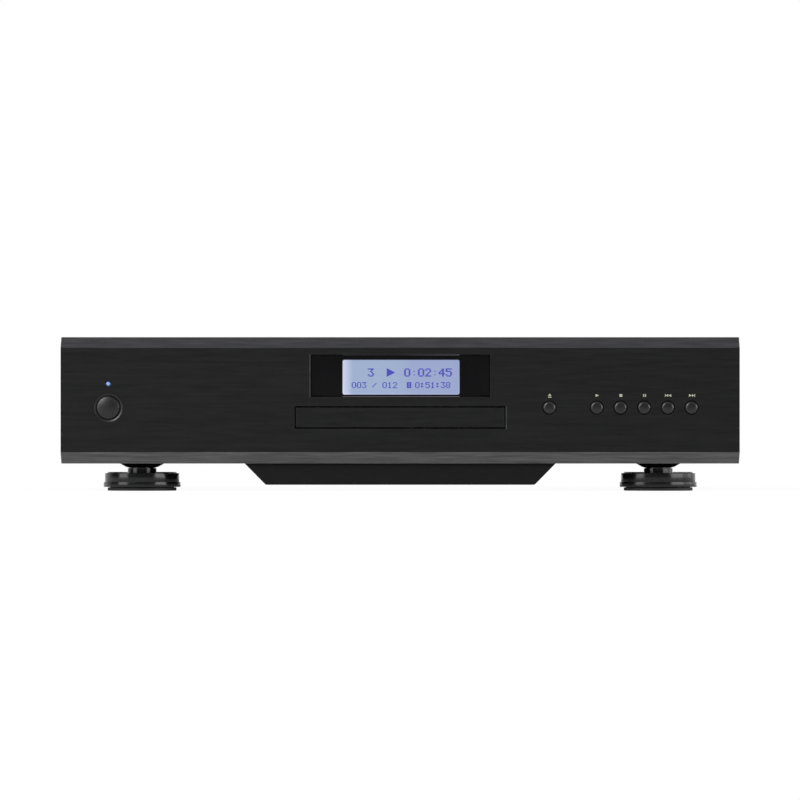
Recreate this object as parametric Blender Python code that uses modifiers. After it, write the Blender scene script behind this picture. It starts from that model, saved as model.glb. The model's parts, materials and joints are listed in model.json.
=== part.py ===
"""CD player: a full-width hi-fi component with a front-loading disc tray.

Lengths are in metres and +Z is up. The front faces -Y and +X is to the right as seen from the front.
The origin is on the surface that the player stands on, in the middle of its length and depth.
"""

import math

import bmesh
import bpy
from mathutils import Matrix, Vector

# Driving sizes of the whole player
CASE_WIDTH = 0.430
CASE_DEPTH = 0.302
FASCIA_HEIGHT = 0.0802

# Clearances and sheet stock that every piece shares
FIT = 0.0003
RUN_GAP = 0.0007
OVERRUN = 0.002
OVERLAP = 0.0004
WELD = 0.00001
SHEET = 0.0012
BOARD = 0.0016

# Number of flat sides on round shapes
BROAD_SIDES = 40
ROUND_SIDES = 20
SMALL_SIDES = 12
ARC_STEPS = 3
SMOOTH_DEGREES = 35
DOME_SHOULDER_SHARE = 0.8

# Fascia
FASCIA_DEPTH = 0.009
FASCIA_WALL = 0.005
FASCIA_RIM = 0.0055
FASCIA_BEVEL = 0.007

# Turned feet and their pads
PAD_HEIGHT = 0.0021
PAD_RADIUS = 0.02205
FOOT_HEIGHT = 0.015
FOOT_RIM_RADIUS = 0.02465
FOOT_RIM_HEIGHT = 0.0031
FOOT_GROOVE_DEPTH = 0.0018
FOOT_GROOVE_HEIGHT = 0.0004
FOOT_DISC_RADIUS = 0.0238
FOOT_DISC_HEIGHT = 0.0053
FOOT_EDGE = 0.0007
FOOT_NECK_RADIUS = 0.00925
FOOT_FLARE_RADIUS = 0.0147
FOOT_FLARE_HEIGHT = 0.0025
FRONT_FOOT_INSET = 0.0495
REAR_FOOT_INSET = 0.037
FRONT_FOOT_SETBACK = 0.040
REAR_FOOT_SETBACK = 0.032

# Sheet-metal case
COVER_DROP = 0.0006
COVER_INSET = 0.002
COVER_LIFT = 0.0006
PAN_FLANGE = 0.012
VENT_COUNT = 9
VENT_PITCH = 0.0075
VENT_WIDTH = 0.0028
VENT_LENGTH = 0.058

# Pan under the middle of the chassis
CHIN_TOP_WIDTH = 0.1974
CHIN_BOTTOM_WIDTH = 0.1708
CHIN_HEIGHT = 0.0135
CHIN_WALL = 0.0015
CHIN_CORNER = 0.0022
CHIN_SETBACK = 0.0096
CHIN_DEPTH = 0.110

# Display
WINDOW_WIDTH = 0.1137
WINDOW_HEIGHT = 0.0266
WINDOW_RISE = 0.0556
BEZEL_SETBACK = 0.0008
LIP_WIDTH = 0.002
LIP_THICKNESS = 0.0012
SCREEN_WIDTH = 0.074
SCREEN_HEIGHT = 0.0224
SCREEN_X = 0.00057
SCREEN_RISE = 0.0547
SCREEN_SETBACK = 0.0015
LCD_BORDER = 0.0045
LCD_DEPTH = 0.0092

# Keys
KEY_RISE = 0.0354
KEY_STEPS = {"eject": 0, "play": 2, "stop": 3, "pause": 4, "previous": 5, "next": 6}
KEY_START_SHARE = 0.1866
KEY_PITCH_SHARE = 0.10125
KEY_RADIUS = 0.0041
KEY_PROUD = 0.0012
KEY_DOME = 0.0003
KEY_EDGE = 0.0005
KEY_TRAVEL = 0.0008
KEY_FLANGE_WIDTH = 0.0011
KEY_FLANGE_THICKNESS = 0.0008
KEY_SWITCH_SIZE = 0.006
KEY_BOARD_MARGIN = 0.0095
KEY_BOARD_HEIGHT = 0.022

# Power button, its switch and the pilot light
POWER_INSET = 0.0302
POWER_RADIUS = 0.00705
POWER_PROUD = 0.002
POWER_EDGE = 0.0008
POWER_RING = 0.00165
POWER_TRAVEL = 0.002
POWER_FLANGE_WIDTH = 0.00155
POWER_FLANGE_THICKNESS = 0.001
POWER_SHAFT_RADIUS = 0.003
POWER_SHAFT_LENGTH = 0.0128
SWITCH_WIDTH = 0.018
SWITCH_HEIGHT = 0.014
SWITCH_DEPTH = 0.024
SWITCH_TAB_WIDTH = 0.004
SWITCH_TAB_THICKNESS = 0.0008
SWITCH_TAB_LENGTH = 0.006
LED_RISE = 0.0505
LED_RADIUS = 0.0015
LED_PROUD = 0.0006
LED_FLANGE_WIDTH = 0.001

# Sockets on the rear panel
JACK_LENGTH = 0.010
JACK_RADIUS = 0.00415
JACK_BORE_RADIUS = 0.0017
JACK_BORE_DEPTH = 0.0085
JACK_FLANGE_WIDTH = 0.00185
JACK_FLANGE_THICKNESS = 0.0015
JACK_INSETS = {"output_jack_left": 0.030, "output_jack_right": 0.050, "digital_jack": 0.075}
SOCKET_RISE = 0.0246
SOCKET_HOUSING_HALF = 0.006
SOCKET_HOUSING_DEPTH = 0.0105
TRIGGER_INSET = 0.100
TRIGGER_LENGTH = 0.003
TRIGGER_RADIUS = 0.0035
TRIGGER_BORE_RADIUS = 0.0018
TRIGGER_BORE_DEPTH = 0.010
PORT_INSET = 0.123
PORT_WIDTH = 0.0155
PORT_HEIGHT = 0.0135
PORT_PROUD = 0.0006
PORT_DEPTH = 0.016
PORT_MOUTH_WIDTH = 0.0118
PORT_MOUTH_HEIGHT = 0.0082
PORT_MOUTH_DEPTH = 0.0125
PORT_KEY_WIDTH = 0.004
PORT_KEY_HEIGHT = 0.0022
INLET_INSET = 0.040
INLET_RISE = 0.0276
INLET_WIDTH = 0.0272
INLET_HEIGHT = 0.0198
INLET_DEPTH = 0.020
INLET_FLANGE_WIDTH = 0.050
INLET_FLANGE_HEIGHT = 0.025
INLET_FLANGE_THICKNESS = 0.0025
INLET_WALL = 0.0016
INLET_MOUTH_DEPTH = 0.0165
INLET_CHAMFER = 0.005
INLET_PIN_WIDTH = 0.002
INLET_PIN_HEIGHT = 0.004
INLET_PIN_LENGTH = 0.0135
INLET_PIN_SPREAD = 0.007
INLET_PIN_OFFSET = 0.002

# Circuit boards and power supply
BOARD_LIFT = 0.0071
STANDOFF_RADIUS = 0.003
STANDOFF_INSET = 0.006
POWER_BOARD_INSET = 0.010
POWER_BOARD_GAP = 0.0054
POWER_BOARD_Y = -0.055
POWER_BOARD_LENGTH = 0.100
CAPACITOR_RADIUS = 0.0125
CAPACITOR_HEIGHT = 0.034
CAPACITOR_GROOVE_HEIGHT = 0.004
CAPACITOR_GROOVE_DEPTH = 0.0008
CAPACITOR_Y = -0.083
CAPACITOR_INSET = 0.043
CAPACITOR_PITCH = 0.029
SINK_INSET = 0.087
SINK_Y = -0.035
SINK_LENGTH = 0.050
SINK_FIN_COUNT = 6
SINK_FIN_PITCH = 0.005
SINK_FIN_THICKNESS = 0.0016
SINK_FIN_HEIGHT = 0.026
SINK_BASE = 0.004
TRANSFORMER_INSET = 0.0565
TRANSFORMER_SETBACK = 0.075
TRANSFORMER_RADIUS = 0.046
TRANSFORMER_BORE = 0.013
TRANSFORMER_HEIGHT = 0.0375
TRANSFORMER_ROUNDING = 0.009
CLAMP_DISH_RADIUS = 0.030
CLAMP_DISH_THICKNESS = 0.0015
CLAMP_BOLT_RADIUS = 0.004
CLAMP_HEAD_RADIUS = 0.0075
CLAMP_HEAD_HEIGHT = 0.004
MAIN_BOARD_INSET = 0.009
MAIN_BOARD_GAP = 0.0114
MAIN_BOARD_FRONT_SETBACK = 0.095
MAIN_BOARD_REAR_GAP = 0.0035
CHIP_SIZE = 0.018
CHIP_HEIGHT = 0.0025
CHIP_PLACE_SHARES = ((0.3, 0.3), (0.55, 0.52), (0.3, 0.62))
SMALL_CAPACITOR_RADIUS = 0.0045
SMALL_CAPACITOR_HEIGHT = 0.013
SMALL_CAPACITOR_PLACE_SHARES = ((0.8, 0.45), (0.8, 0.53), (0.8, 0.61), (0.8, 0.69), (0.15, 0.8), (0.15, 0.7))
HEADER_WIDTH = 0.024
HEADER_HEIGHT = 0.008
HEADER_DEPTH = 0.0056
RIBBON_WIDTH = 0.020
RIBBON_THICKNESS = 0.0012
RIBBON_STEPS = 12
RIBBON_STRAIGHT_SHARE = 0.45

# Loader frame and disc tray
SLOT_WIDTH = 0.1337
SLOT_HEIGHT = 0.0142
SLOT_RISE = 0.0292
FLAP_GAP = 0.00085
FLAP_EDGE = 0.0004
TRAY_WIDTH = 0.128
TRAY_HEIGHT = 0.009
TRAY_DROP = 0.0041
TRAY_TRAVEL = 0.136
TRAY_TAIL = 0.006
DISC_SETBACK = 0.0697
WELL_RADIUS = 0.0605
WELL_DEPTH = 0.0046
INNER_WELL_RADIUS = 0.0405
INNER_WELL_DEPTH = 0.0014
TRAY_SLOT_ROOM = 0.0035
TRAY_SHELL = 0.002
TRAY_POCKET_MARGIN = 0.004
TONGUE_LENGTH = 0.036
TONGUE_REACH = 0.0016
TONGUE_HEIGHT = 0.002
TONGUE_RISE = 0.0015
SLIDE_GAP = 0.0006
FRAME_SETBACK = 0.0065
FRAME_TAIL = 0.014
FRAME_LIFT = 0.0051
FRAME_FLOOR = 0.002
FRAME_WALL = 0.006
FRAME_END_WALL = 0.0025
FRAME_LEDGE = 0.0046
FRAME_RISE = 0.0022
FRAME_POST_RADIUS = 0.0045
FRAME_POST_INSET = 0.008
FLOOR_OPENING_ROOM = 0.0015
FLOOR_OPENING_TAIL = 0.007

# Gear train of the tray
MODULE = 0.001
ADDENDUM_SHARE = 0.95
DEDENDUM_SHARE = 1.25
TOOTH_TIP_SHARE = 0.2
TOOTH_ROOT_SHARE = 0.6
TRAY_GEAR_TEETH = 18
PINION_TEETH = 10
SLED_PINION_TEETH = 9
RACK_HEIGHT = 0.0022
RACK_BACK = 0.0038
RACK_LEAD = 0.008
GEAR_SETBACK = 0.024
PULLEY_DROP = 0.0085
PULLEY_HEIGHT = 0.003
PULLEY_RADIUS = 0.011
PINION_HEIGHT = 0.0028
PULLEY_GROOVE_DEPTH = 0.0012
PULLEY_GROOVE_WIDTH = 0.0018
MOTOR_PULLEY_RADIUS = 0.0036
BELT_RADIUS = 0.0005
BELT_SEGMENTS = 12
PIN_RADIUS = 0.002
SHOULDER_RADIUS = 0.004
MOTOR_X = 0.014
MOTOR_SETBACK = 0.006
MOTOR_RADIUS = 0.0085
MOTOR_HEIGHT = 0.0125
MOTOR_SHAFT_RADIUS = 0.001

# Traverse that carries the disc drive
TRAVERSE_DROP = 0.0055
TRAVERSE_THICKNESS = 0.002
TRAVERSE_SIDE_ROOM = 0.0012
PIVOT_SETBACK = 0.118
PIVOT_MARGIN = 0.003
PIVOT_PIN_LENGTH = 0.006
PIVOT_POST_THICKNESS = 0.006
PIVOT_POST_HALF = 0.005
PIVOT_POST_TOP = 0.0045
PICKUP_WINDOW_WIDTH = 0.026
PICKUP_WINDOW_LENGTH = 0.038
CAM_PIN_RADIUS = 0.0015
CAM_X = -0.006
CAM_GAP = 0.0045
CAM_THICKNESS = 0.003
CAM_STROKE = 0.014
CAM_DROP = 0.0067
CAM_END = 0.012
CAM_TAIL = 0.022
CAM_RIB_THICKNESS = 0.0015
CAM_RIB_HEIGHT = 0.0014
ROD_RADIUS = 0.00125
ROD_RISE = 0.00275
ROD_INSET = 0.004
ROD_BLOCK_HALF = 0.003
ROD_BLOCK_LENGTH = 0.004
ROD_END_INSET = 0.0005
SPINDLE_RADIUS = 0.012
SPINDLE_HEIGHT = 0.0092
SPINDLE_BOSS_RADIUS = 0.005
SPINDLE_SHAFT_RADIUS = 0.001
PLATTER_RADIUS = 0.015
PLATTER_THICKNESS = 0.0022
PLATTER_RISE = 0.0057
HUB_RADIUS = 0.0074
HUB_HEIGHT = 0.0023
HUB_TAPER = 0.0008
NECK_RADIUS = 0.004
BRIDGE_LENGTH = 0.030
BRIDGE_RIB = 0.003
PUCK_RADIUS = 0.014
PUCK_NECK_RADIUS = 0.008
PUCK_NECK_ROOM = 0.002
PUCK_FLANGE_WIDTH = 0.0045
PUCK_FLANGE_THICKNESS = 0.0015
PUCK_LIFT = 0.001
SLED_PINION_INSET = 0.007
SLED_PINION_HEIGHT = 0.0038
SLED_MOTOR_RADIUS = 0.0065
SLED_MOTOR_BOSS_RADIUS = 0.0025
SLED_SHAFT_RADIUS = 0.00075
SLED_MOTOR_SETBACK = 0.0553
SLED_ARM_BACK = 0.0034
SLED_ARM_HEIGHT = 0.0032
SLED_LENGTH = 0.028
SLED_TRAVEL = 0.034
SLED_STOP_GAP = 0.0013
SLED_TRAVEL_SPARE = 0.0027
SLED_ARM_TAIL = 0.005
ACTUATOR_WIDTH = 0.028
ACTUATOR_LENGTH = 0.020
ACTUATOR_HEIGHT = 0.003
ACTUATOR_INSET = 0.0015
LENS_RADIUS = 0.0042
LENS_INNER_RADIUS = 0.0026
LENS_RADIUS_FROM_SPINDLE = 0.024
LENS_WELL_DEPTH = 0.0027
LENS_TRAVEL = 0.0007
LENS_HEIGHT = 0.0024
LENS_DOME = 0.0004

# Levels above the surface that the player stands on
FASCIA_BOTTOM = PAD_HEIGHT + FIT + FOOT_HEIGHT
FASCIA_TOP = FASCIA_BOTTOM + FASCIA_HEIGHT
BASE_UNDER = FASCIA_BOTTOM + FIT
BASE_TOP = BASE_UNDER + SHEET
ROOF_TOP = FASCIA_TOP - COVER_DROP
ROOF_UNDER = ROOF_TOP - SHEET
PANEL_TOP = ROOF_UNDER - FIT
CHIN_TOP = BASE_UNDER - FIT
KEY_Z = FASCIA_BOTTOM + KEY_RISE
LED_Z = FASCIA_BOTTOM + LED_RISE
WINDOW_Z = FASCIA_BOTTOM + WINDOW_RISE
SCREEN_Z = FASCIA_BOTTOM + SCREEN_RISE
SLOT_Z = FASCIA_BOTTOM + SLOT_RISE
SOCKET_Z = FASCIA_BOTTOM + SOCKET_RISE
INLET_Z = FASCIA_BOTTOM + INLET_RISE
BOARD_UNDER = BASE_TOP + BOARD_LIFT
BOARD_TOP = BOARD_UNDER + BOARD
TRAY_UNDER = SLOT_Z - TRAY_DROP
TRAY_TOP = TRAY_UNDER + TRAY_HEIGHT
RACK_UNDER = TRAY_UNDER - RACK_HEIGHT
FRAME_TOP = TRAY_TOP + FRAME_RISE
FRAME_UNDER = BASE_TOP + FRAME_LIFT
FLOOR_TOP = FRAME_UNDER + FRAME_FLOOR
PULLEY_UNDER = TRAY_UNDER - PULLEY_DROP
PULLEY_TOP = PULLEY_UNDER + PULLEY_HEIGHT
PLATE_TOP = TRAY_UNDER - TRAVERSE_DROP
PLATE_UNDER = PLATE_TOP - TRAVERSE_THICKNESS
PIVOT_Z = (PLATE_TOP + PLATE_UNDER) / 2
ROD_Z = PLATE_TOP + ROD_RISE
SLED_UNDER = PLATE_TOP + OVERLAP
SLED_TOP = TRAY_UNDER - OVERLAP
PLATTER_TOP = TRAY_UNDER + PLATTER_RISE
BRIDGE_UNDER = FRAME_TOP + FIT
BRIDGE_TOP = BRIDGE_UNDER + SHEET

# Planes across the depth, front to rear
FRONT_Y = POWER_PROUD - (CASE_DEPTH + POWER_PROUD + JACK_LENGTH) / 2
REAR_Y = FRONT_Y + CASE_DEPTH
WALL_BACK = FRONT_Y + FASCIA_WALL
FASCIA_BACK = FRONT_Y + FASCIA_DEPTH
SUBPANEL_FRONT = FASCIA_BACK + FIT
SUBPANEL_BACK = SUBPANEL_FRONT + SHEET
PAN_FRONT = SUBPANEL_BACK + FIT
REAR_PANEL_FRONT = REAR_Y - SHEET
PAN_REAR = REAR_PANEL_FRONT - FIT
TRAY_FRONT = WALL_BACK + FIT
DISC_Y = TRAY_FRONT + DISC_SETBACK
GEAR_Y = DISC_Y - GEAR_SETBACK
PULLEY_Y = GEAR_Y - (TRAY_GEAR_TEETH + PINION_TEETH) * MODULE / 2
MOTOR_Y = PULLEY_Y - MOTOR_SETBACK
TRAY_REAR = GEAR_Y + TRAY_TRAVEL + TRAY_TAIL
TRAVERSE_FRONT = GEAR_Y
PIVOT_Y = DISC_Y + PIVOT_SETBACK
FRAME_FRONT = SUBPANEL_BACK + FRAME_SETBACK
FRAME_REAR = PIVOT_Y + FRAME_TAIL
CAM_BACK = TRAVERSE_FRONT - CAM_GAP
CAM_FRONT = CAM_BACK - CAM_THICKNESS
TRANSFORMER_Y = REAR_Y - TRANSFORMER_SETBACK
LENS_Y = DISC_Y + LENS_RADIUS_FROM_SPINDLE
ROD_FRONT_BLOCK = DISC_Y + PLATTER_RADIUS
SLED_FRONT = ROD_FRONT_BLOCK + SLED_STOP_GAP
SLED_REAR = SLED_FRONT + SLED_LENGTH
ROD_REAR_BLOCK = SLED_REAR + SLED_TRAVEL + SLED_TRAVEL_SPARE
SLED_MOTOR_Y = DISC_Y + SLED_MOTOR_SETBACK

# Half widths of the case and the loader
CASE_HALF = CASE_WIDTH / 2
COVER_HALF = CASE_HALF - COVER_INSET
PANEL_HALF = COVER_HALF - SHEET - FIT
TRAY_HALF = TRAY_WIDTH / 2
CHANNEL_HALF = TRAY_HALF + SLIDE_GAP
CAVITY_HALF = CHANNEL_HALF - FRAME_LEDGE
FRAME_HALF = CHANNEL_HALF + FRAME_WALL
TRAY_SLOT_HALF = PLATTER_RADIUS + TRAY_SLOT_ROOM
RACK_BACK_X = CAVITY_HALF - RUN_GAP
RACK_X = RACK_BACK_X - RACK_BACK
GEAR_RADIUS = TRAY_GEAR_TEETH * MODULE / 2
GEAR_X = RACK_X - GEAR_RADIUS
TRAVERSE_HALF = GEAR_X - GEAR_RADIUS - MODULE - TRAVERSE_SIDE_ROOM
SLED_PINION_X = TRAVERSE_HALF - SLED_PINION_INSET
SLED_RACK_X = SLED_PINION_X - SLED_PINION_TEETH * MODULE / 2
SLED_ARM_X = SLED_RACK_X - SLED_ARM_BACK
SLED_HALF = SLED_ARM_X + OVERLAP
ROD_X = SLED_HALF - ROD_INSET

# Places across the width that follow the case's sides
FRONT_FOOT_X = CASE_HALF - FRONT_FOOT_INSET
REAR_FOOT_X = CASE_HALF - REAR_FOOT_INSET
POWER_X = POWER_INSET - CASE_HALF
INLET_X = INLET_INSET - CASE_HALF
PORT_X = CASE_HALF - PORT_INSET
TRIGGER_X = CASE_HALF - TRIGGER_INSET
JACK_X = {name: CASE_HALF - inset for name, inset in JACK_INSETS.items()}
CAPACITOR_X = CAPACITOR_INSET - CASE_HALF
SINK_X = SINK_INSET - CASE_HALF
TRANSFORMER_X = TRANSFORMER_INSET - CASE_HALF
POWER_BOARD_LEFT = POWER_BOARD_INSET - CASE_HALF
POWER_BOARD_RIGHT = -FRAME_HALF - POWER_BOARD_GAP
MAIN_BOARD_LEFT = FRAME_HALF + MAIN_BOARD_GAP
MAIN_BOARD_RIGHT = CASE_HALF - MAIN_BOARD_INSET

# Colour, roughness and metallic value of each finish
FINISHES = {
    "anodised": ((0.03, 0.03, 0.032), 0.42, 0.9),
    "gloss_black": ((0.008, 0.008, 0.008), 0.12, 0.0),
    "satin_black": ((0.02, 0.02, 0.02), 0.4, 0.0),
    "screen": ((0.31, 0.38, 0.60), 0.25, 0.0),
    "pilot": ((0.25, 0.5, 0.9), 0.2, 0.0),
    "powder_coat": ((0.025, 0.025, 0.026), 0.6, 0.2),
    "bare_steel": ((0.55, 0.55, 0.54), 0.35, 1.0),
    "polished_steel": ((0.7, 0.7, 0.7), 0.15, 1.0),
    "aluminium": ((0.62, 0.62, 0.62), 0.4, 1.0),
    "gilt": ((0.8, 0.6, 0.25), 0.25, 1.0),
    "board": ((0.03, 0.16, 0.07), 0.5, 0.0),
    "grey_plastic": ((0.3, 0.3, 0.31), 0.5, 0.0),
    "white_plastic": ((0.75, 0.75, 0.72), 0.5, 0.0),
    "rubber": ((0.03, 0.03, 0.03), 0.8, 0.0),
    "winding_wrap": ((0.5, 0.36, 0.07), 0.4, 0.0),
    "capacitor_sleeve": ((0.02, 0.05, 0.16), 0.35, 0.0),
    "lens": ((0.2, 0.3, 0.45), 0.05, 0.0),
}


def clear_scene():
    """Remove every object that the scene starts with."""
    for item in list(bpy.data.objects):
        bpy.data.objects.remove(item, do_unlink=True)


def new_group(name):
    """Make a collection and link it to the scene."""
    group = bpy.data.collections.new(name)
    bpy.context.scene.collection.children.link(group)
    return group


clear_scene()
PARTS = new_group("cd_player")
TOOLS = new_group("shaping_tools")


def place(name, mesh, finish=None, origin=(0, 0, 0), turn=(0, 0, 0)):
    """Link a mesh as a part with a finish, or as a hidden shaping tool when it has none."""
    item = bpy.data.objects.new(name, mesh)
    item.location = origin
    item.rotation_euler = turn
    if finish is None:
        TOOLS.objects.link(item)
        item.hide_render = True
        item.display_type = "WIRE"
        return item
    PARTS.objects.link(item)
    colour, roughness, metallic = FINISHES[finish]
    material = bpy.data.materials.new(name)
    material.use_nodes = True
    shader = material.node_tree.nodes["Principled BSDF"]
    shader.inputs["Base Color"].default_value = (*colour, 1)
    shader.inputs["Roughness"].default_value = roughness
    shader.inputs["Metallic"].default_value = metallic
    mesh.materials.append(material)
    return item


def soften(mesh):
    """Shade round faces smooth and keep corners sharp."""
    mesh.shade_smooth()
    mesh.set_sharp_from_angle(angle=math.radians(SMOOTH_DEGREES))


def mesh_from(shape, name):
    """Turn a bmesh into a mesh."""
    mesh = bpy.data.meshes.new(name)
    shape.to_mesh(mesh)
    shape.free()
    return mesh


def boxes(name, spans, finish=None, origin=(0, 0, 0)):
    """Boxes, each given by its lowest and highest X, Y and Z."""
    shape = bmesh.new()
    for x0, x1, y0, y1, z0, z1 in spans:
        middle = Vector(((x0 + x1) / 2, (y0 + y1) / 2, (z0 + z1) / 2)) - Vector(origin)
        size = Matrix.Diagonal((x1 - x0, y1 - y0, z1 - z0, 1))
        bmesh.ops.create_cube(shape, size=1, matrix=Matrix.Translation(middle) @ size)
    return place(name, mesh_from(shape, name), finish, origin)


AXIS_FRAMES = {
    "z": Matrix.Identity(4),
    "y": Matrix(((1, 0, 0, 0), (0, 0, -1, 0), (0, 1, 0, 0), (0, 0, 0, 1))),
    "x": Matrix(((0, 0, 1, 0), (1, 0, 0, 0), (0, 1, 0, 0), (0, 0, 0, 1))),
}


def along(axis, across, up, distance):
    """World point for a place in the plane across an axis and a distance along that axis."""
    if axis == "z":
        return Vector((across, up, distance))
    if axis == "y":
        return Vector((across, distance, up))
    return Vector((distance, across, up))


def cylinders(name, axis, pieces, sides=SMALL_SIDES, finish=None, origin=(0, 0, 0)):
    """Cylinders along one axis, each given by its centre in the plane, radius, start and end."""
    shape = bmesh.new()
    for across, up, radius, start, end in pieces:
        middle = along(axis, across, up, (start + end) / 2) - Vector(origin)
        frame = Matrix.Translation(middle) @ AXIS_FRAMES[axis]
        depth = end - start
        bmesh.ops.create_cone(
            shape, cap_ends=True, segments=sides, radius1=radius, radius2=radius, depth=depth, matrix=frame
        )
    mesh = mesh_from(shape, name)
    soften(mesh)
    return place(name, mesh, finish, origin)


def turned(name, profile, finish=None, origin=(0, 0, 0), turn=(0, 0, 0), sides=ROUND_SIDES, ring=False):
    """Solid of revolution from (radius, height) points that run down its outer side."""
    shape = bmesh.new()
    corners = [shape.verts.new((radius, 0, height)) for radius, height in profile]
    for first, second in zip(corners, corners[1:]):
        shape.edges.new((first, second))
    if ring:
        shape.edges.new((corners[-1], corners[0]))
    item = place(name, mesh_from(shape, name), finish, origin, turn)
    screw = item.modifiers.new("Turn", "SCREW")
    screw.angle = math.tau
    screw.steps = sides
    screw.render_steps = sides
    screw.use_merge_vertices = True
    screw.merge_threshold = WELD
    screw.use_smooth_shade = False
    return item


FACING_FRONT = (math.pi / 2, 0, 0)
FACING_REAR = (-math.pi / 2, 0, 0)


def prism(name, loops, axis, start, end, finish=None, origin=(0, 0, 0)):
    """Flat outline in the plane across an axis, extruded from start to end along it."""
    outline = bpy.data.curves.new(name, "CURVE")
    outline.dimensions = "2D"
    outline.fill_mode = "BOTH"
    outline.extrude = (end - start) / 2
    for loop in loops:
        spline = outline.splines.new("POLY")
        spline.points.add(len(loop) - 1)
        for point, (across, up) in zip(spline.points, loop):
            point.co = (across, up, 0, 1)
        spline.use_cyclic_u = True
    draft = bpy.data.objects.new(name, outline)
    bpy.context.scene.collection.objects.link(draft)
    graph = bpy.context.evaluated_depsgraph_get()
    mesh = bpy.data.meshes.new_from_object(draft.evaluated_get(graph))
    bpy.data.objects.remove(draft, do_unlink=True)
    middle = along(axis, 0, 0, (start + end) / 2) - Vector(origin)
    mesh.transform(Matrix.Translation(middle) @ AXIS_FRAMES[axis])
    shape = bmesh.new()
    shape.from_mesh(mesh)
    bmesh.ops.remove_doubles(shape, verts=shape.verts, dist=WELD)
    bmesh.ops.recalc_face_normals(shape, faces=shape.faces)
    shape.to_mesh(mesh)
    shape.free()
    mesh.name = name
    return place(name, mesh, finish, origin)


def combine(item, tool, operation):
    """Add a Boolean modifier to a part."""
    modifier = item.modifiers.new(operation.title(), "BOOLEAN")
    modifier.operation = operation
    modifier.solver = "EXACT"
    modifier.object = tool
    return item


def cut(item, *tools):
    """Take tools away from a part."""
    for tool in tools:
        combine(item, tool, "DIFFERENCE")
    return item


def join(item, *tools):
    """Add tools to a part."""
    for tool in tools:
        combine(item, tool, "UNION")
    return item


def bevel_edges(item, width, chosen):
    """Cut a flat bevel along the edges whose two ends pass a test."""
    shape = bmesh.new()
    shape.from_mesh(item.data)
    edges = [edge for edge in shape.edges if chosen(*(corner.co for corner in edge.verts))]
    bmesh.ops.bevel(shape, geom=edges, offset=width, segments=1, affect="EDGES")
    shape.to_mesh(item.data)
    shape.free()


def arc(centre, radii, start, end, steps=ARC_STEPS):
    """Points along an arc, with angles in degrees and one radius for each direction."""
    points = []
    for step in range(steps + 1):
        angle = math.radians(start + (end - start) * step / steps)
        points.append((centre[0] + radii[0] * math.cos(angle), centre[1] + radii[1] * math.sin(angle)))
    return points


def capsule(start, end, radius, steps=ARC_STEPS * 2):
    """Outline of a slot with round ends between two points."""
    heading = math.degrees(math.atan2(end[1] - start[1], end[0] - start[0]))
    far = arc(end, (radius, radius), heading - 90, heading + 90, steps)
    near = arc(start, (radius, radius), heading + 90, heading + 270, steps)
    return far + near


def gear_outline(teeth, phase_degrees, bore):
    """Outline of a spur gear with straight-flanked teeth, and the circle of its bore."""
    pitch_radius = teeth * MODULE / 2
    tip = pitch_radius + MODULE * ADDENDUM_SHARE
    root = pitch_radius - MODULE * DEDENDUM_SHARE
    step = math.tau / teeth
    outer = []
    for tooth in range(teeth):
        middle = math.radians(phase_degrees) + tooth * step
        for radius, side in ((root, -TOOTH_ROOT_SHARE), (tip, -TOOTH_TIP_SHARE), (tip, TOOTH_TIP_SHARE),
                             (root, TOOTH_ROOT_SHARE)):
            angle = middle + side * step / 2
            outer.append((radius * math.cos(angle), radius * math.sin(angle)))
    return [outer, arc((0, 0), (bore, bore), 0, 360, SMALL_SIDES)[:-1]]


def rack_outline(start, end, pitch_x, back_x, gap_y):
    """Outline of a rack along Y whose teeth point away from back_x, with a gap between teeth at gap_y."""
    outward = math.copysign(1, pitch_x - back_x)
    tip = pitch_x + outward * MODULE * ADDENDUM_SHARE
    root = pitch_x - outward * MODULE * DEDENDUM_SHARE
    pitch = math.pi * MODULE
    first = math.ceil((start - gap_y) / pitch)
    last = math.floor((end - gap_y) / pitch)
    points = [(back_x, end), (back_x, start), (root, start)]
    for tooth in range(first, last):
        middle = gap_y + (2 * tooth + 1) * pitch / 2
        points.append((root, middle - pitch * TOOTH_ROOT_SHARE / 2))
        points.append((tip, middle - pitch * TOOTH_TIP_SHARE / 2))
        points.append((tip, middle + pitch * TOOTH_TIP_SHARE / 2))
        points.append((root, middle + pitch * TOOTH_ROOT_SHARE / 2))
    points.append((root, end))
    return points


def rounded_profile(inner, outer, bottom, top, rounding):
    """Closed (radius, height) profile of a ring with rounded corners."""
    size = (rounding, rounding)
    points = arc((outer - rounding, top - rounding), size, 90, 0)
    points += arc((outer - rounding, bottom + rounding), size, 0, -90)
    points += arc((inner + rounding, bottom + rounding), size, 270, 180)
    points += arc((inner + rounding, top - rounding), size, 180, 90)
    return points


def key_x(name):
    """Place of a key in the space between the tray's slot and the end of the fascia."""
    slot_half = SLOT_WIDTH / 2
    return slot_half + (CASE_HALF - slot_half) * (KEY_START_SHARE + KEY_STEPS[name] * KEY_PITCH_SHARE)


def middle_span(x, z, width, height, y0, y1):
    """Box span centred on a place of the front or rear."""
    return (x - width / 2, x + width / 2, y0, y1, z - height / 2, z + height / 2)


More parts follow.
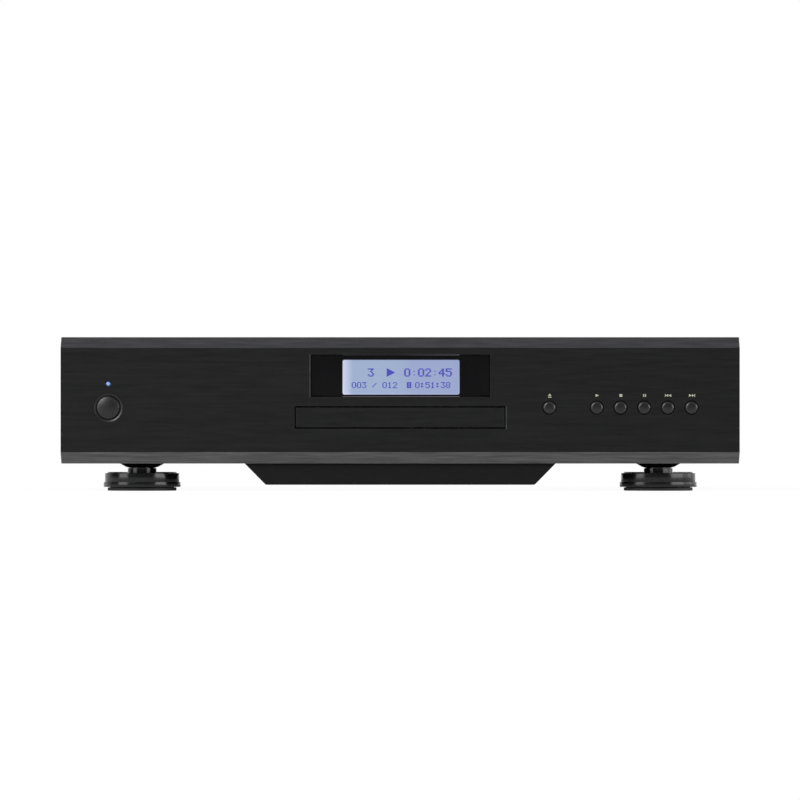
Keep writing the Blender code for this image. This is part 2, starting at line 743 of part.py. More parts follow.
def make_fascia():
    """Thick front plate with broad bevels, a pocket behind, and openings for the controls."""
    body = (-CASE_HALF, CASE_HALF, FRONT_Y, FASCIA_BACK, FASCIA_BOTTOM, FASCIA_TOP)
    fascia = boxes("fascia", [body], "anodised")
    bevel_edges(fascia, FASCIA_BEVEL, is_long_front_edge)
    pocket_half = CASE_HALF - FASCIA_RIM
    low = FASCIA_BOTTOM + FASCIA_RIM
    high = FASCIA_TOP - FASCIA_RIM
    hollow = (-pocket_half, pocket_half, WALL_BACK, FASCIA_BACK + OVERRUN, low, high)
    pocket = boxes("fascia_pocket", [hollow])
    before = FRONT_Y - OVERRUN
    behind = WALL_BACK + OVERRUN
    window = middle_span(0, WINDOW_Z, WINDOW_WIDTH, WINDOW_HEIGHT, before, behind)
    slot = middle_span(0, SLOT_Z, SLOT_WIDTH, SLOT_HEIGHT, before, behind)
    openings = boxes("fascia_openings", [window, slot])
    holes = [(key_x(name), KEY_Z, KEY_RADIUS + FIT, before, behind) for name in KEY_STEPS]
    holes.append((POWER_X, LED_Z, LED_RADIUS + FIT, before, behind))
    key_holes = cylinders("fascia_key_holes", "y", holes, ROUND_SIDES)
    bore = POWER_RADIUS + FIT
    ring = bore + POWER_RING
    profile = [(0, OVERRUN), (ring, OVERRUN), (ring, 0), (bore, -POWER_RING)]
    profile += [(bore, -FASCIA_WALL - OVERRUN), (0, -FASCIA_WALL - OVERRUN)]
    power_hole = turned("fascia_power_hole", profile, None, (POWER_X, FRONT_Y, KEY_Z), FACING_FRONT)
    cut(fascia, pocket, openings, key_holes, power_hole)


def is_long_front_edge(start, end):
    """Whether an edge of the fascia block runs along its front from side to side."""
    middle = (FRONT_Y + FASCIA_BACK) / 2
    return max(start.y, end.y) < middle and abs(end.x - start.x) > CASE_HALF


def make_display():
    """Window plate let into the fascia, and the display module behind it."""
    width = WINDOW_WIDTH - 2 * FIT
    height = WINDOW_HEIGHT - 2 * FIT
    lip_front = WALL_BACK + FIT
    lip_back = lip_front + LIP_THICKNESS
    plate = middle_span(0, WINDOW_Z, width, height, FRONT_Y + BEZEL_SETBACK, lip_back)
    bezel = boxes("display_bezel", [plate], "gloss_black")
    lip_width = WINDOW_WIDTH + 2 * LIP_WIDTH
    lip_height = WINDOW_HEIGHT + 2 * LIP_WIDTH
    lip = middle_span(0, WINDOW_Z, lip_width, lip_height, lip_front, lip_back)
    join(bezel, boxes("bezel_lip", [lip]))
    before = FRONT_Y - OVERRUN
    opening = middle_span(SCREEN_X, SCREEN_Z, SCREEN_WIDTH, SCREEN_HEIGHT, before, lip_back + OVERRUN)
    cut(bezel, boxes("bezel_opening", [opening]))
    body_front = lip_back + FIT
    body = lcd_body_span(body_front, body_front + LCD_DEPTH, 0)
    module = boxes("lcd_module", [body], "screen")
    glass_front = FRONT_Y + BEZEL_SETBACK + SCREEN_SETBACK
    glass_width = SCREEN_WIDTH - 2 * FIT
    glass_height = SCREEN_HEIGHT - 2 * FIT
    glass = middle_span(SCREEN_X, SCREEN_Z, glass_width, glass_height, glass_front, body_front + OVERLAP)
    join(module, boxes("lcd_glass", [glass]))


def lcd_body_span(y0, y1, room):
    """Span of the display module's body, widened all round by some room."""
    width = SCREEN_WIDTH + 2 * (LCD_BORDER + room)
    height = SCREEN_HEIGHT + 2 * (LCD_BORDER - FIT + room)
    return middle_span(SCREEN_X, SCREEN_Z, width, height, y0, y1)


def make_keys():
    """Six round keys, each held behind the fascia wall by its flange."""
    behind_wall = -FASCIA_WALL - FIT
    flange = KEY_RADIUS + KEY_FLANGE_WIDTH
    end = behind_wall - KEY_FLANGE_THICKNESS
    edge = KEY_PROUD - KEY_DOME
    profile = [(0, KEY_PROUD), (KEY_RADIUS / 2, KEY_PROUD - KEY_DOME / 3), (KEY_RADIUS - KEY_EDGE, edge)]
    profile += [(KEY_RADIUS, edge - KEY_EDGE), (KEY_RADIUS, behind_wall)]
    profile += [(flange, behind_wall), (flange, end), (0, end)]
    for name in KEY_STEPS:
        place_at = (key_x(name), FRONT_Y, KEY_Z)
        turned(name + "_button", profile, "satin_black", place_at, FACING_FRONT, SMALL_SIDES)


def make_power_button():
    """Push button with a flange behind the fascia wall and a shaft that reaches into its switch."""
    behind_wall = -FASCIA_WALL - FIT
    flange = POWER_RADIUS + POWER_FLANGE_WIDTH
    flange_end = behind_wall - POWER_FLANGE_THICKNESS
    profile = [(0, POWER_PROUD), (POWER_RADIUS - POWER_EDGE, POWER_PROUD)]
    profile += [(POWER_RADIUS, POWER_PROUD - POWER_EDGE), (POWER_RADIUS, behind_wall)]
    profile += [(flange, behind_wall), (flange, flange_end), (POWER_SHAFT_RADIUS, flange_end)]
    profile += [(POWER_SHAFT_RADIUS, -POWER_SHAFT_LENGTH), (0, -POWER_SHAFT_LENGTH)]
    turned("power_button", profile, "anodised", (POWER_X, FRONT_Y, KEY_Z), FACING_FRONT)


def make_power_switch():
    """Mains switch behind the sub-panel, bored for the power button's shaft."""
    back = PAN_FRONT + SWITCH_DEPTH
    body = middle_span(POWER_X, KEY_Z, SWITCH_WIDTH, SWITCH_HEIGHT, PAN_FRONT, back)
    switch = boxes("power_switch", [body], "grey_plastic")
    tabs = []
    for across in (-1, 1):
        for up in (-1, 1):
            x = POWER_X + across * SWITCH_WIDTH / 4
            z = KEY_Z + up * SWITCH_HEIGHT / 4
            end = back + SWITCH_TAB_LENGTH
            tabs.append(middle_span(x, z, SWITCH_TAB_THICKNESS, SWITCH_TAB_WIDTH, back - OVERLAP, end))
    join(switch, boxes("switch_tabs", tabs))
    shaft_end = FRONT_Y + POWER_SHAFT_LENGTH + POWER_TRAVEL + FIT
    bore = (POWER_X, KEY_Z, POWER_SHAFT_RADIUS + FIT, PAN_FRONT - OVERRUN, shaft_end)
    cut(switch, cylinders("switch_bore", "y", [bore], ROUND_SIDES))


def make_pilot_light():
    """Light pipe of the pilot light, held between the fascia and the sub-panel."""
    behind_wall = -FASCIA_WALL - FIT
    flange = LED_RADIUS + LED_FLANGE_WIDTH
    end = FRONT_Y + FIT - SUBPANEL_FRONT
    profile = [(0, LED_PROUD), (LED_RADIUS / 2, LED_PROUD * DOME_SHOULDER_SHARE), (LED_RADIUS, 0)]
    profile += [(LED_RADIUS, behind_wall), (flange, behind_wall), (flange, end), (0, end)]
    turned("power_led", profile, "pilot", (POWER_X, FRONT_Y, LED_Z), FACING_FRONT, SMALL_SIDES)


def make_front_subpanel():
    """Steel front of the chassis, with openings for everything that passes through it."""
    body = (-PANEL_HALF, PANEL_HALF, SUBPANEL_FRONT, SUBPANEL_BACK, BASE_UNDER, PANEL_TOP)
    panel = boxes("front_subpanel", [body], "bare_steel")
    before = SUBPANEL_FRONT - OVERRUN
    behind = SUBPANEL_BACK + OVERRUN
    spans = [lcd_body_span(before, behind, FIT)]
    spans.append(middle_span(0, SLOT_Z, SLOT_WIDTH, SLOT_HEIGHT, before, behind))
    hole = KEY_SWITCH_SIZE + 2 * FIT
    spans += [middle_span(key_x(name), KEY_Z, hole, hole, before, behind) for name in KEY_STEPS]
    shaft = (POWER_X, KEY_Z, POWER_SHAFT_RADIUS + FIT, before, behind)
    cut(panel, boxes("subpanel_openings", spans), cylinders("subpanel_shaft_hole", "y", [shaft], ROUND_SIDES))


def make_front_board():
    """Key board behind the sub-panel, with one switch for each key and a cable header."""
    first = key_x("eject") - KEY_BOARD_MARGIN
    last = key_x("next") + KEY_BOARD_MARGIN
    low = KEY_Z - KEY_BOARD_HEIGHT / 2
    high = KEY_Z + KEY_BOARD_HEIGHT / 2
    back = PAN_FRONT + BOARD
    board = boxes("front_board", [(first, last, PAN_FRONT, back, low, high)], "board")
    front = FRONT_Y + FASCIA_WALL + FIT + KEY_FLANGE_THICKNESS + KEY_TRAVEL + RUN_GAP
    size = KEY_SWITCH_SIZE
    spans = [middle_span(key_x(name), KEY_Z, size, size, front, PAN_FRONT + OVERLAP) for name in KEY_STEPS]
    header = middle_span(header_x(), KEY_Z, HEADER_WIDTH, HEADER_HEIGHT, back - OVERLAP, back + HEADER_DEPTH)
    spans.append(header)
    join(board, boxes("front_board_parts", spans))


def foot_profile():
    """Outline of a turned foot from its flared top to its rim."""
    disc_bottom = FOOT_RIM_HEIGHT + FOOT_GROOVE_HEIGHT
    disc_top = disc_bottom + FOOT_DISC_HEIGHT
    flare = FOOT_FLARE_RADIUS - FOOT_NECK_RADIUS
    groove = FOOT_DISC_RADIUS - FOOT_GROOVE_DEPTH
    points = [(0, FOOT_HEIGHT)]
    points += arc((FOOT_FLARE_RADIUS, FOOT_HEIGHT - FOOT_FLARE_HEIGHT), (flare, FOOT_FLARE_HEIGHT), 90, 180)
    points += [(FOOT_NECK_RADIUS, disc_top), (FOOT_DISC_RADIUS - FOOT_EDGE, disc_top)]
    points += [(FOOT_DISC_RADIUS, disc_top - FOOT_EDGE), (FOOT_DISC_RADIUS, disc_bottom)]
    points += [(groove, disc_bottom), (groove, FOOT_RIM_HEIGHT), (FOOT_RIM_RADIUS, FOOT_RIM_HEIGHT)]
    points += [(FOOT_RIM_RADIUS, FOOT_EDGE), (FOOT_RIM_RADIUS - FOOT_EDGE, 0), (0, 0)]
    return points


def make_feet():
    """Four feet and the pads that they stand on."""
    profile = foot_profile()
    pad = [(0, PAD_HEIGHT), (PAD_RADIUS, PAD_HEIGHT), (PAD_RADIUS, 0), (0, 0)]
    front = (FRONT_FOOT_X, FRONT_Y + FRONT_FOOT_SETBACK)
    rear = (REAR_FOOT_X, REAR_Y - REAR_FOOT_SETBACK)
    for row, (x, y) in (("front", front), ("rear", rear)):
        for side, sign in (("left", -1), ("right", 1)):
            name = row + "_" + side
            turned("foot_" + name, profile, "gloss_black", (sign * x, y, PAD_HEIGHT + FIT))
            turned("foot_pad_" + name, pad, "rubber", (sign * x, y, 0))


def make_base_pan():
    """Floor of the chassis, a tray of sheet steel with four turned-up edges."""
    top = BASE_UNDER + PAN_FLANGE
    pan = boxes("base_pan", [(-PANEL_HALF, PANEL_HALF, PAN_FRONT, PAN_REAR, BASE_UNDER, top)], "powder_coat")
    inner = PANEL_HALF - SHEET
    hollow = (-inner, inner, PAN_FRONT + SHEET, PAN_REAR - SHEET, BASE_TOP, top + OVERRUN)
    cut(pan, boxes("pan_hollow", [hollow]))


def make_top_cover():
    """Folded cover with vents over the transformer and over the main board."""
    skirt = BASE_UNDER + COVER_LIFT
    body = (-COVER_HALF, COVER_HALF, SUBPANEL_FRONT, REAR_Y, skirt, ROOF_TOP)
    cover = boxes("top_cover", [body], "powder_coat")
    inner = COVER_HALF - SHEET
    hollow = (-inner, inner, SUBPANEL_FRONT - OVERRUN, REAR_Y + OVERRUN, skirt - OVERRUN, ROOF_UNDER)
    half = VENT_WIDTH / 2
    front = TRANSFORMER_Y - VENT_LENGTH / 2
    back = TRANSFORMER_Y + VENT_LENGTH / 2
    vents = []
    for centre_x in (TRANSFORMER_X, -TRANSFORMER_X):
        for slot in range(VENT_COUNT):
            x = centre_x + (slot - (VENT_COUNT - 1) / 2) * VENT_PITCH
            vents.append((x - half, x + half, front, back, ROOF_UNDER - OVERRUN, ROOF_TOP + OVERRUN))
    cut(cover, boxes("cover_hollow", [hollow]), boxes("cover_vents", vents))


def chin_outline(inset):
    """Trapezoid of the chin pan with rounded lower corners, drawn in by an inset at its sides and bottom."""
    slope = (CHIN_TOP_WIDTH - CHIN_BOTTOM_WIDTH) / 2 / CHIN_HEIGHT
    slant = inset * math.hypot(1, slope)
    bottom = CHIN_TOP - CHIN_HEIGHT + inset
    top = CHIN_TOP + (OVERRUN if inset else 0)
    low_half = CHIN_BOTTOM_WIDTH / 2 - slant + inset * slope
    top_half = low_half + (top - bottom) * slope
    radius = CHIN_CORNER - inset
    side_angle = math.degrees(math.atan2(top - bottom, top_half - low_half))
    points = [(top_half, top), (-top_half, top)]
    if radius <= 0:
        return points + [(-low_half, bottom), (low_half, bottom)]
    pull = radius * math.tan(math.radians(side_angle) / 2)
    left = arc((-low_half + pull, bottom + radius), (radius, radius), 270 - side_angle, 270)
    right = arc((low_half - pull, bottom + radius), (radius, radius), 270, 270 + side_angle)
    return points + left + right


def make_chin_pan():
    """Shallow pan under the middle of the chassis, open at its top."""
    front = FRONT_Y + CHIN_SETBACK
    back = front + CHIN_DEPTH
    pan = prism("chin_pan", [chin_outline(0)], "y", front, back, "powder_coat")
    cut(pan, prism("chin_hollow", [chin_outline(CHIN_WALL)], "y", front + CHIN_WALL, back - CHIN_WALL))


def make_rear_panel():
    """Rear of the case, with an opening for each socket."""
    body = (-PANEL_HALF, PANEL_HALF, REAR_PANEL_FRONT, REAR_Y, BASE_UNDER, PANEL_TOP)
    panel = boxes("rear_panel", [body], "powder_coat")
    before = REAR_PANEL_FRONT - OVERRUN
    behind = REAR_Y + OVERRUN
    inlet = middle_span(INLET_X, INLET_Z, INLET_WIDTH + 2 * FIT, INLET_HEIGHT + 2 * FIT, before, behind)
    port = middle_span(PORT_X, SOCKET_Z, PORT_WIDTH + 2 * FIT, PORT_HEIGHT + 2 * FIT, before, behind)
    holes = [(x, SOCKET_Z, JACK_RADIUS + FIT, before, behind) for x in JACK_X.values()]
    holes.append((TRIGGER_X, SOCKET_Z, TRIGGER_RADIUS + FIT, before, behind))
    cut(panel, boxes("rear_openings", [inlet, port]), cylinders("rear_holes", "y", holes, ROUND_SIDES))


def socket_housing(name, x):
    """Housing of a round socket, standing on the main board behind the rear panel."""
    back = REAR_PANEL_FRONT - FIT - SHEET - FIT
    front = back - SOCKET_HOUSING_DEPTH
    half = SOCKET_HOUSING_HALF
    return boxes(name + "_housing", [(x - half, x + half, front, back, BOARD_TOP + FIT, SOCKET_Z + half)])


def make_round_sockets():
    """Phono sockets and the small trigger socket."""
    inside = REAR_PANEL_FRONT - FIT - SHEET - FIT - OVERLAP - REAR_Y
    for name, x in JACK_X.items():
        flange = JACK_RADIUS + JACK_FLANGE_WIDTH
        flange_top = FIT + JACK_FLANGE_THICKNESS
        floor = JACK_LENGTH - JACK_BORE_DEPTH
        profile = [(0, floor), (JACK_BORE_RADIUS, floor), (JACK_BORE_RADIUS, JACK_LENGTH)]
        profile += [(JACK_RADIUS, JACK_LENGTH), (JACK_RADIUS, flange_top), (flange, flange_top)]
        profile += [(flange, FIT), (JACK_RADIUS, FIT), (JACK_RADIUS, inside), (0, inside)]
        jack = turned(name, profile, "gilt", (x, REAR_Y, SOCKET_Z), FACING_REAR)
        join(jack, socket_housing(name, x))
    floor = TRIGGER_LENGTH - TRIGGER_BORE_DEPTH
    flange = TRIGGER_RADIUS + JACK_FLANGE_WIDTH
    profile = [(0, TRIGGER_LENGTH), (flange, TRIGGER_LENGTH), (flange, FIT), (TRIGGER_RADIUS, FIT)]
    profile += [(TRIGGER_RADIUS, inside), (0, inside)]
    trigger = turned("trigger_jack", profile, "satin_black", (TRIGGER_X, REAR_Y, SOCKET_Z), FACING_REAR)
    join(trigger, socket_housing("trigger_jack", TRIGGER_X))
    bore = (TRIGGER_X, SOCKET_Z, TRIGGER_BORE_RADIUS, REAR_Y + floor, REAR_Y + TRIGGER_LENGTH + OVERRUN)
    cut(trigger, cylinders("trigger_bore", "y", [bore]))


def make_control_port():
    """Modular control socket with its mouth and the notch for the plug's latch."""
    mouth_y = REAR_Y + PORT_PROUD
    back = REAR_PANEL_FRONT - FIT - SHEET - FIT
    body = middle_span(PORT_X, SOCKET_Z, PORT_WIDTH, PORT_HEIGHT, back - OVERLAP, mouth_y)
    port = boxes("control_port", [body], "satin_black")
    half = PORT_WIDTH / 2
    top = SOCKET_Z + PORT_HEIGHT / 2
    housing = (PORT_X - half, PORT_X + half, mouth_y - PORT_DEPTH, back, BOARD_TOP + FIT, top)
    join(port, boxes("port_housing", [housing]))
    floor = mouth_y - PORT_MOUTH_DEPTH
    mouth = middle_span(PORT_X, SOCKET_Z, PORT_MOUTH_WIDTH, PORT_MOUTH_HEIGHT, floor, mouth_y + OVERRUN)
    latch_z = SOCKET_Z - PORT_MOUTH_HEIGHT / 2 - PORT_KEY_HEIGHT / 2 + OVERLAP
    latch = middle_span(PORT_X, latch_z, PORT_KEY_WIDTH, PORT_KEY_HEIGHT, floor, mouth_y + OVERRUN)
    cut(port, boxes("port_mouth", [mouth]), boxes("port_latch", [latch]))


def inlet_outline():
    """Mouth of the mains inlet: a rectangle with its two upper corners cut off."""
    half = INLET_WIDTH / 2 - INLET_WALL
    rise = INLET_HEIGHT / 2 - INLET_WALL
    corners = [(-half, -rise), (half, -rise), (half, rise - INLET_CHAMFER), (half - INLET_CHAMFER, rise)]
    corners += [(INLET_CHAMFER - half, rise), (-half, rise - INLET_CHAMFER)]
    return [(INLET_X + across, INLET_Z + up) for across, up in corners]


def make_mains_inlet():
    """Three-pin mains inlet with a flange outside the rear panel."""
    face = REAR_Y + FIT + INLET_FLANGE_THICKNESS
    body = middle_span(INLET_X, INLET_Z, INLET_WIDTH, INLET_HEIGHT, REAR_Y - INLET_DEPTH, face)
    inlet = boxes("mains_inlet", [body], "satin_black")
    flange = middle_span(INLET_X, INLET_Z, INLET_FLANGE_WIDTH, INLET_FLANGE_HEIGHT, REAR_Y + FIT, face)
    join(inlet, boxes("inlet_flange", [flange]))
    floor = face - INLET_MOUTH_DEPTH
    cut(inlet, prism("inlet_mouth", [inlet_outline()], "y", floor, face + OVERRUN))
    pins = []
    for across, up in ((-1, -1), (0, 1), (1, -1)):
        x = INLET_X + across * INLET_PIN_SPREAD
        z = INLET_Z + up * INLET_PIN_OFFSET
        end = floor + INLET_PIN_LENGTH
        pins.append(middle_span(x, z, INLET_PIN_WIDTH, INLET_PIN_HEIGHT, floor - OVERLAP, end))
    join(inlet, boxes("inlet_pins", pins))


def standoffs(name, x0, x1, y0, y1):
    """Four short pillars that carry a board above the base pan."""
    pieces = []
    for x in (x0 + STANDOFF_INSET, x1 - STANDOFF_INSET):
        for y in (y0 + STANDOFF_INSET, y1 - STANDOFF_INSET):
            pieces.append((x, y, STANDOFF_RADIUS, BASE_TOP + FIT, BOARD_UNDER + OVERLAP))
    return cylinders(name + "_standoffs", "z", pieces)


def make_power_board():
    """Power supply board on its standoffs."""
    x0 = POWER_BOARD_LEFT
    x1 = POWER_BOARD_RIGHT
    y0 = POWER_BOARD_Y - POWER_BOARD_LENGTH / 2
    y1 = POWER_BOARD_Y + POWER_BOARD_LENGTH / 2
    board = boxes("power_board", [(x0, x1, y0, y1, BOARD_UNDER, BOARD_TOP)], "board")
    join(board, standoffs("power_board", x0, x1, y0, y1))


def make_capacitors():
    """Two large reservoir capacitors with a rolled groove near the foot of the can."""
    groove = CAPACITOR_GROOVE_HEIGHT
    waist = CAPACITOR_RADIUS - CAPACITOR_GROOVE_DEPTH
    profile = [(0, CAPACITOR_HEIGHT), (waist, CAPACITOR_HEIGHT)]
    profile += [(CAPACITOR_RADIUS, CAPACITOR_HEIGHT - CAPACITOR_GROOVE_DEPTH)]
    profile += [(CAPACITOR_RADIUS, groove + 2 * CAPACITOR_GROOVE_DEPTH), (waist, groove)]
    profile += [(CAPACITOR_RADIUS, groove - 2 * CAPACITOR_GROOVE_DEPTH), (CAPACITOR_RADIUS, 0), (0, 0)]
    for number in (1, 2):
        place_at = (CAPACITOR_X + (number - 1) * CAPACITOR_PITCH, CAPACITOR_Y, BOARD_TOP + FIT)
        turned("filter_capacitor_" + str(number), profile, "capacitor_sleeve", place_at)


def make_heatsink():
    """Finned heat sink standing on the power board."""
    bottom = BOARD_TOP + FIT
    y0 = SINK_Y - SINK_LENGTH / 2
    y1 = SINK_Y + SINK_LENGTH / 2
    half = (SINK_FIN_COUNT - 1) * SINK_FIN_PITCH / 2 + SINK_FIN_THICKNESS / 2
    base = (SINK_X - half, SINK_X + half, y0, y1, bottom, bottom + SINK_BASE)
    sink = boxes("heatsink", [base], "aluminium")
    low = bottom + SINK_BASE - OVERLAP
    fins = []
    for fin in range(SINK_FIN_COUNT):
        x = SINK_X - half + fin * SINK_FIN_PITCH
        fins.append((x, x + SINK_FIN_THICKNESS, y0, y1, low, bottom + SINK_FIN_HEIGHT))
    join(sink, boxes("heatsink_fins", fins))


def make_transformer():
    """Toroidal transformer and the dished washer and bolt that hold it down."""
    floor = BASE_TOP + FIT
    height = TRANSFORMER_HEIGHT
    profile = rounded_profile(TRANSFORMER_BORE, TRANSFORMER_RADIUS, 0, height, TRANSFORMER_ROUNDING)
    place_at = (TRANSFORMER_X, TRANSFORMER_Y, floor)
    turned("transformer", profile, "winding_wrap", place_at, sides=BROAD_SIDES // 2, ring=True)
    dish = height + FIT
    dish_top = dish + CLAMP_DISH_THICKNESS
    head_top = dish_top + CLAMP_HEAD_HEIGHT
    profile = [(0, head_top), (CLAMP_HEAD_RADIUS, head_top), (CLAMP_HEAD_RADIUS, dish_top)]
    profile += [(CLAMP_DISH_RADIUS, dish_top), (CLAMP_DISH_RADIUS, dish), (CLAMP_BOLT_RADIUS, dish)]
    profile += [(CLAMP_BOLT_RADIUS, 0), (0, 0)]
    turned("transformer_clamp", profile, "bare_steel", place_at)


def make_main_board():
    """Main board with its chips, small capacitors and cable header, on standoffs."""
    x0 = MAIN_BOARD_LEFT
    x1 = MAIN_BOARD_RIGHT
    y0 = FRONT_Y + MAIN_BOARD_FRONT_SETBACK
    y1 = REAR_Y - MAIN_BOARD_REAR_GAP - SHEET
    board = boxes("main_board", [(x0, x1, y0, y1, BOARD_UNDER, BOARD_TOP)], "board")
    spans = [middle_span(header_x(), main_header_z(), HEADER_WIDTH, HEADER_HEIGHT, y0, y0 + HEADER_DEPTH)]
    for across, deep in CHIP_PLACE_SHARES:
        x = x0 + across * (x1 - x0)
        y = y0 + deep * (y1 - y0)
        half = CHIP_SIZE / 2
        spans.append((x - half, x + half, y - half, y + half, BOARD_TOP - OVERLAP, BOARD_TOP + CHIP_HEIGHT))
    cans = []
    for across, deep in SMALL_CAPACITOR_PLACE_SHARES:
        x = x0 + across * (x1 - x0)
        y = y0 + deep * (y1 - y0)
        cans.append((x, y, SMALL_CAPACITOR_RADIUS, BOARD_TOP - OVERLAP, BOARD_TOP + SMALL_CAPACITOR_HEIGHT))
    tools = [boxes("main_board_parts", spans), cylinders("main_board_cans", "z", cans, SMALL_SIDES)]
    join(board, *tools, standoffs("main_board", x0, x1, y0, y1))


def header_x():
    """Place of both cable headers, behind the third key."""
    return key_x("stop")


def main_header_z():
    """Height of the main board's cable header."""
    return BOARD_TOP - OVERLAP + HEADER_HEIGHT / 2


def make_ribbon_cable():
    """Flat cable from the key board to the main board, hanging in one easy curve."""
    start_y = PAN_FRONT + BOARD + HEADER_DEPTH + FIT
    end_y = FRONT_Y + MAIN_BOARD_FRONT_SETBACK - FIT
    end_z = main_header_z()
    reach = (end_y - start_y) * RIBBON_STRAIGHT_SHARE
    controls = [(start_y, KEY_Z), (start_y + reach, KEY_Z), (end_y - reach, end_z), (end_y, end_z)]
    half = RIBBON_THICKNESS / 2
    upper = []
    lower = []
    for step in range(RIBBON_STEPS + 1):
        share = step / RIBBON_STEPS
        y, z = bezier(controls, share)
        run, rise = bezier_slope(controls, share)
        size = math.hypot(run, rise)
        upper.append((y - half * rise / size, z + half * run / size))
        lower.append((y + half * rise / size, z - half * run / size))
    first = header_x() - RIBBON_WIDTH / 2
    prism("ribbon_cable", [upper + lower[::-1]], "x", first, first + RIBBON_WIDTH, "grey_plastic")


def bezier(controls, share):
    """Point on a cubic curve."""
    rest = 1 - share
    weights = (rest ** 3, 3 * rest ** 2 * share, 3 * rest * share ** 2, share ** 3)
    return tuple(sum(weight * point[axis] for weight, point in zip(weights, controls)) for axis in (0, 1))


def bezier_slope(controls, share):
    """Direction of a cubic curve."""
    rest = 1 - share
    weights = (rest ** 2, 2 * rest * share, share ** 2)
    steps = [(second[0] - first[0], second[1] - first[1]) for first, second in zip(controls, controls[1:])]
    return tuple(sum(weight * step[axis] for weight, step in zip(weights, steps)) for axis in (0, 1))


def make_loader_frame():
    """Moulded frame that guides the tray and carries the gears, the motor and the traverse."""
    body = (-FRAME_HALF, FRAME_HALF, FRAME_FRONT, FRAME_REAR, FRAME_UNDER, FRAME_TOP)
    frame = boxes("loader_frame", [body], "satin_black")
    above = FRAME_TOP + OVERRUN
    inner_front = FRAME_FRONT + FRAME_END_WALL
    inner_rear = FRAME_REAR - FRAME_END_WALL
    before = FRAME_FRONT - OVERRUN
    cavity = boxes("frame_cavity", [(-CAVITY_HALF, CAVITY_HALF, inner_front, inner_rear, FLOOR_TOP, above)])
    rack_end = inner_rear - OVERLAP
    rack_room = (-CAVITY_HALF, CAVITY_HALF, before, rack_end, RACK_UNDER - RUN_GAP, above + OVERRUN)
    channel_front = before - OVERRUN
    channel_top = above + 2 * OVERRUN
    channel = (-CHANNEL_HALF, CHANNEL_HALF, channel_front, inner_rear, TRAY_UNDER - FIT, channel_top)
    groove_half = TRAY_HALF + TONGUE_REACH + SLIDE_GAP
    groove_front = TRAY_REAR - TONGUE_LENGTH - TRAY_TRAVEL - FIT
    groove_low = TRAY_UNDER + TONGUE_RISE - FIT
    groove_high = groove_low + TONGUE_HEIGHT + 2 * FIT
    groove = (-groove_half, groove_half, groove_front, inner_rear - OVERLAP, groove_low, groove_high)
    opening_half = TRAVERSE_HALF + FLOOR_OPENING_ROOM
    opening_front = TRAVERSE_FRONT - FLOOR_OPENING_ROOM
    opening_rear = PIVOT_Y - FLOOR_OPENING_TAIL
    low = FRAME_UNDER - OVERRUN
    high = FLOOR_TOP + OVERRUN
    opening = (-opening_half, opening_half, opening_front, opening_rear, low, high)
    motor = (MOTOR_X, MOTOR_Y, MOTOR_RADIUS + FIT, low, high)
    cut(frame, cavity, boxes("frame_rack_room", [rack_room]), boxes("frame_channel", [channel]))
    cut(frame, boxes("frame_groove", [groove]), boxes("frame_opening", [opening]))
    cut(frame, cylinders("frame_motor_hole", "z", [motor], ROUND_SIDES))
    join(frame, frame_posts(), cam_ribs(), pivot_posts())
    low = TRAVERSE_HALF
    high = TRAVERSE_HALF + RUN_GAP + PIVOT_POST_THICKNESS + OVERRUN
    bores = []
    for side in (-1, 1):
        ends = sorted((side * low, side * high))
        bores.append((PIVOT_Y, PIVOT_Z, PIN_RADIUS + FIT, *ends))
    cut(frame, cylinders("pivot_bores", "x", bores))


def frame_posts():
    """Legs under the frame, and the stepped posts that the two gears turn on."""
    pieces = []
    for x in (FRAME_POST_INSET - FRAME_HALF, FRAME_HALF - FRAME_POST_INSET):
        for y in (FRAME_FRONT + FRAME_POST_INSET, FRAME_REAR - FRAME_POST_INSET):
            pieces.append((x, y, FRAME_POST_RADIUS, BASE_TOP + FIT, FRAME_UNDER + OVERLAP))
    gear_under = PULLEY_TOP + FIT
    gear_top = TRAY_UNDER - RUN_GAP
    pinion_top = PULLEY_TOP + PINION_HEIGHT
    low = FLOOR_TOP - OVERLAP
    pieces.append((GEAR_X, GEAR_Y, PIN_RADIUS, low, gear_top - FIT))
    pieces.append((GEAR_X, PULLEY_Y, SHOULDER_RADIUS, low, PULLEY_UNDER - FIT))
    posts = cylinders("frame_posts", "z", pieces)
    pin = (GEAR_X, PULLEY_Y, PIN_RADIUS, PULLEY_UNDER - OVERRUN, pinion_top - FIT)
    shoulder = (GEAR_X, GEAR_Y, gear_shoulder(), low, gear_under - FIT)
    return join(posts, cylinders("pulley_pin", "z", [pin]), cylinders("gear_shoulder", "z", [shoulder]))


def gear_shoulder():
    """Radius of the tray gear's shoulder, kept clear of the pulley that runs beside it."""
    room = GEAR_Y - PULLEY_Y - PULLEY_RADIUS - RUN_GAP
    return min(SHOULDER_RADIUS, room)


def cam_ribs():
    """Two low ribs that guide the cam slider across the frame's floor."""
    start = CAM_X - CAM_STROKE - CAM_TAIL
    end = CAM_X + CAM_STROKE + CAM_END
    low = FLOOR_TOP - OVERLAP
    high = FLOOR_TOP + CAM_RIB_HEIGHT
    front = CAM_FRONT - FIT
    back = CAM_BACK + FIT
    ribs = [(start, end, front - CAM_RIB_THICKNESS, front, low, high)]
    ribs.append((start, end, back, back + CAM_RIB_THICKNESS, low, high))
    return boxes("cam_ribs", ribs)


def pivot_posts():
    """Posts with the bearings of the traverse."""
    low = FLOOR_TOP - OVERLAP
    high = PIVOT_Z + PIVOT_POST_TOP
    start = TRAVERSE_HALF + RUN_GAP
    end = start + PIVOT_POST_THICKNESS
    front = PIVOT_Y - PIVOT_POST_HALF
    back = PIVOT_Y + PIVOT_POST_HALF
    posts = [(-end, -start, front, back, low, high), (start, end, front, back, low, high)]
    return boxes("pivot_posts", posts)


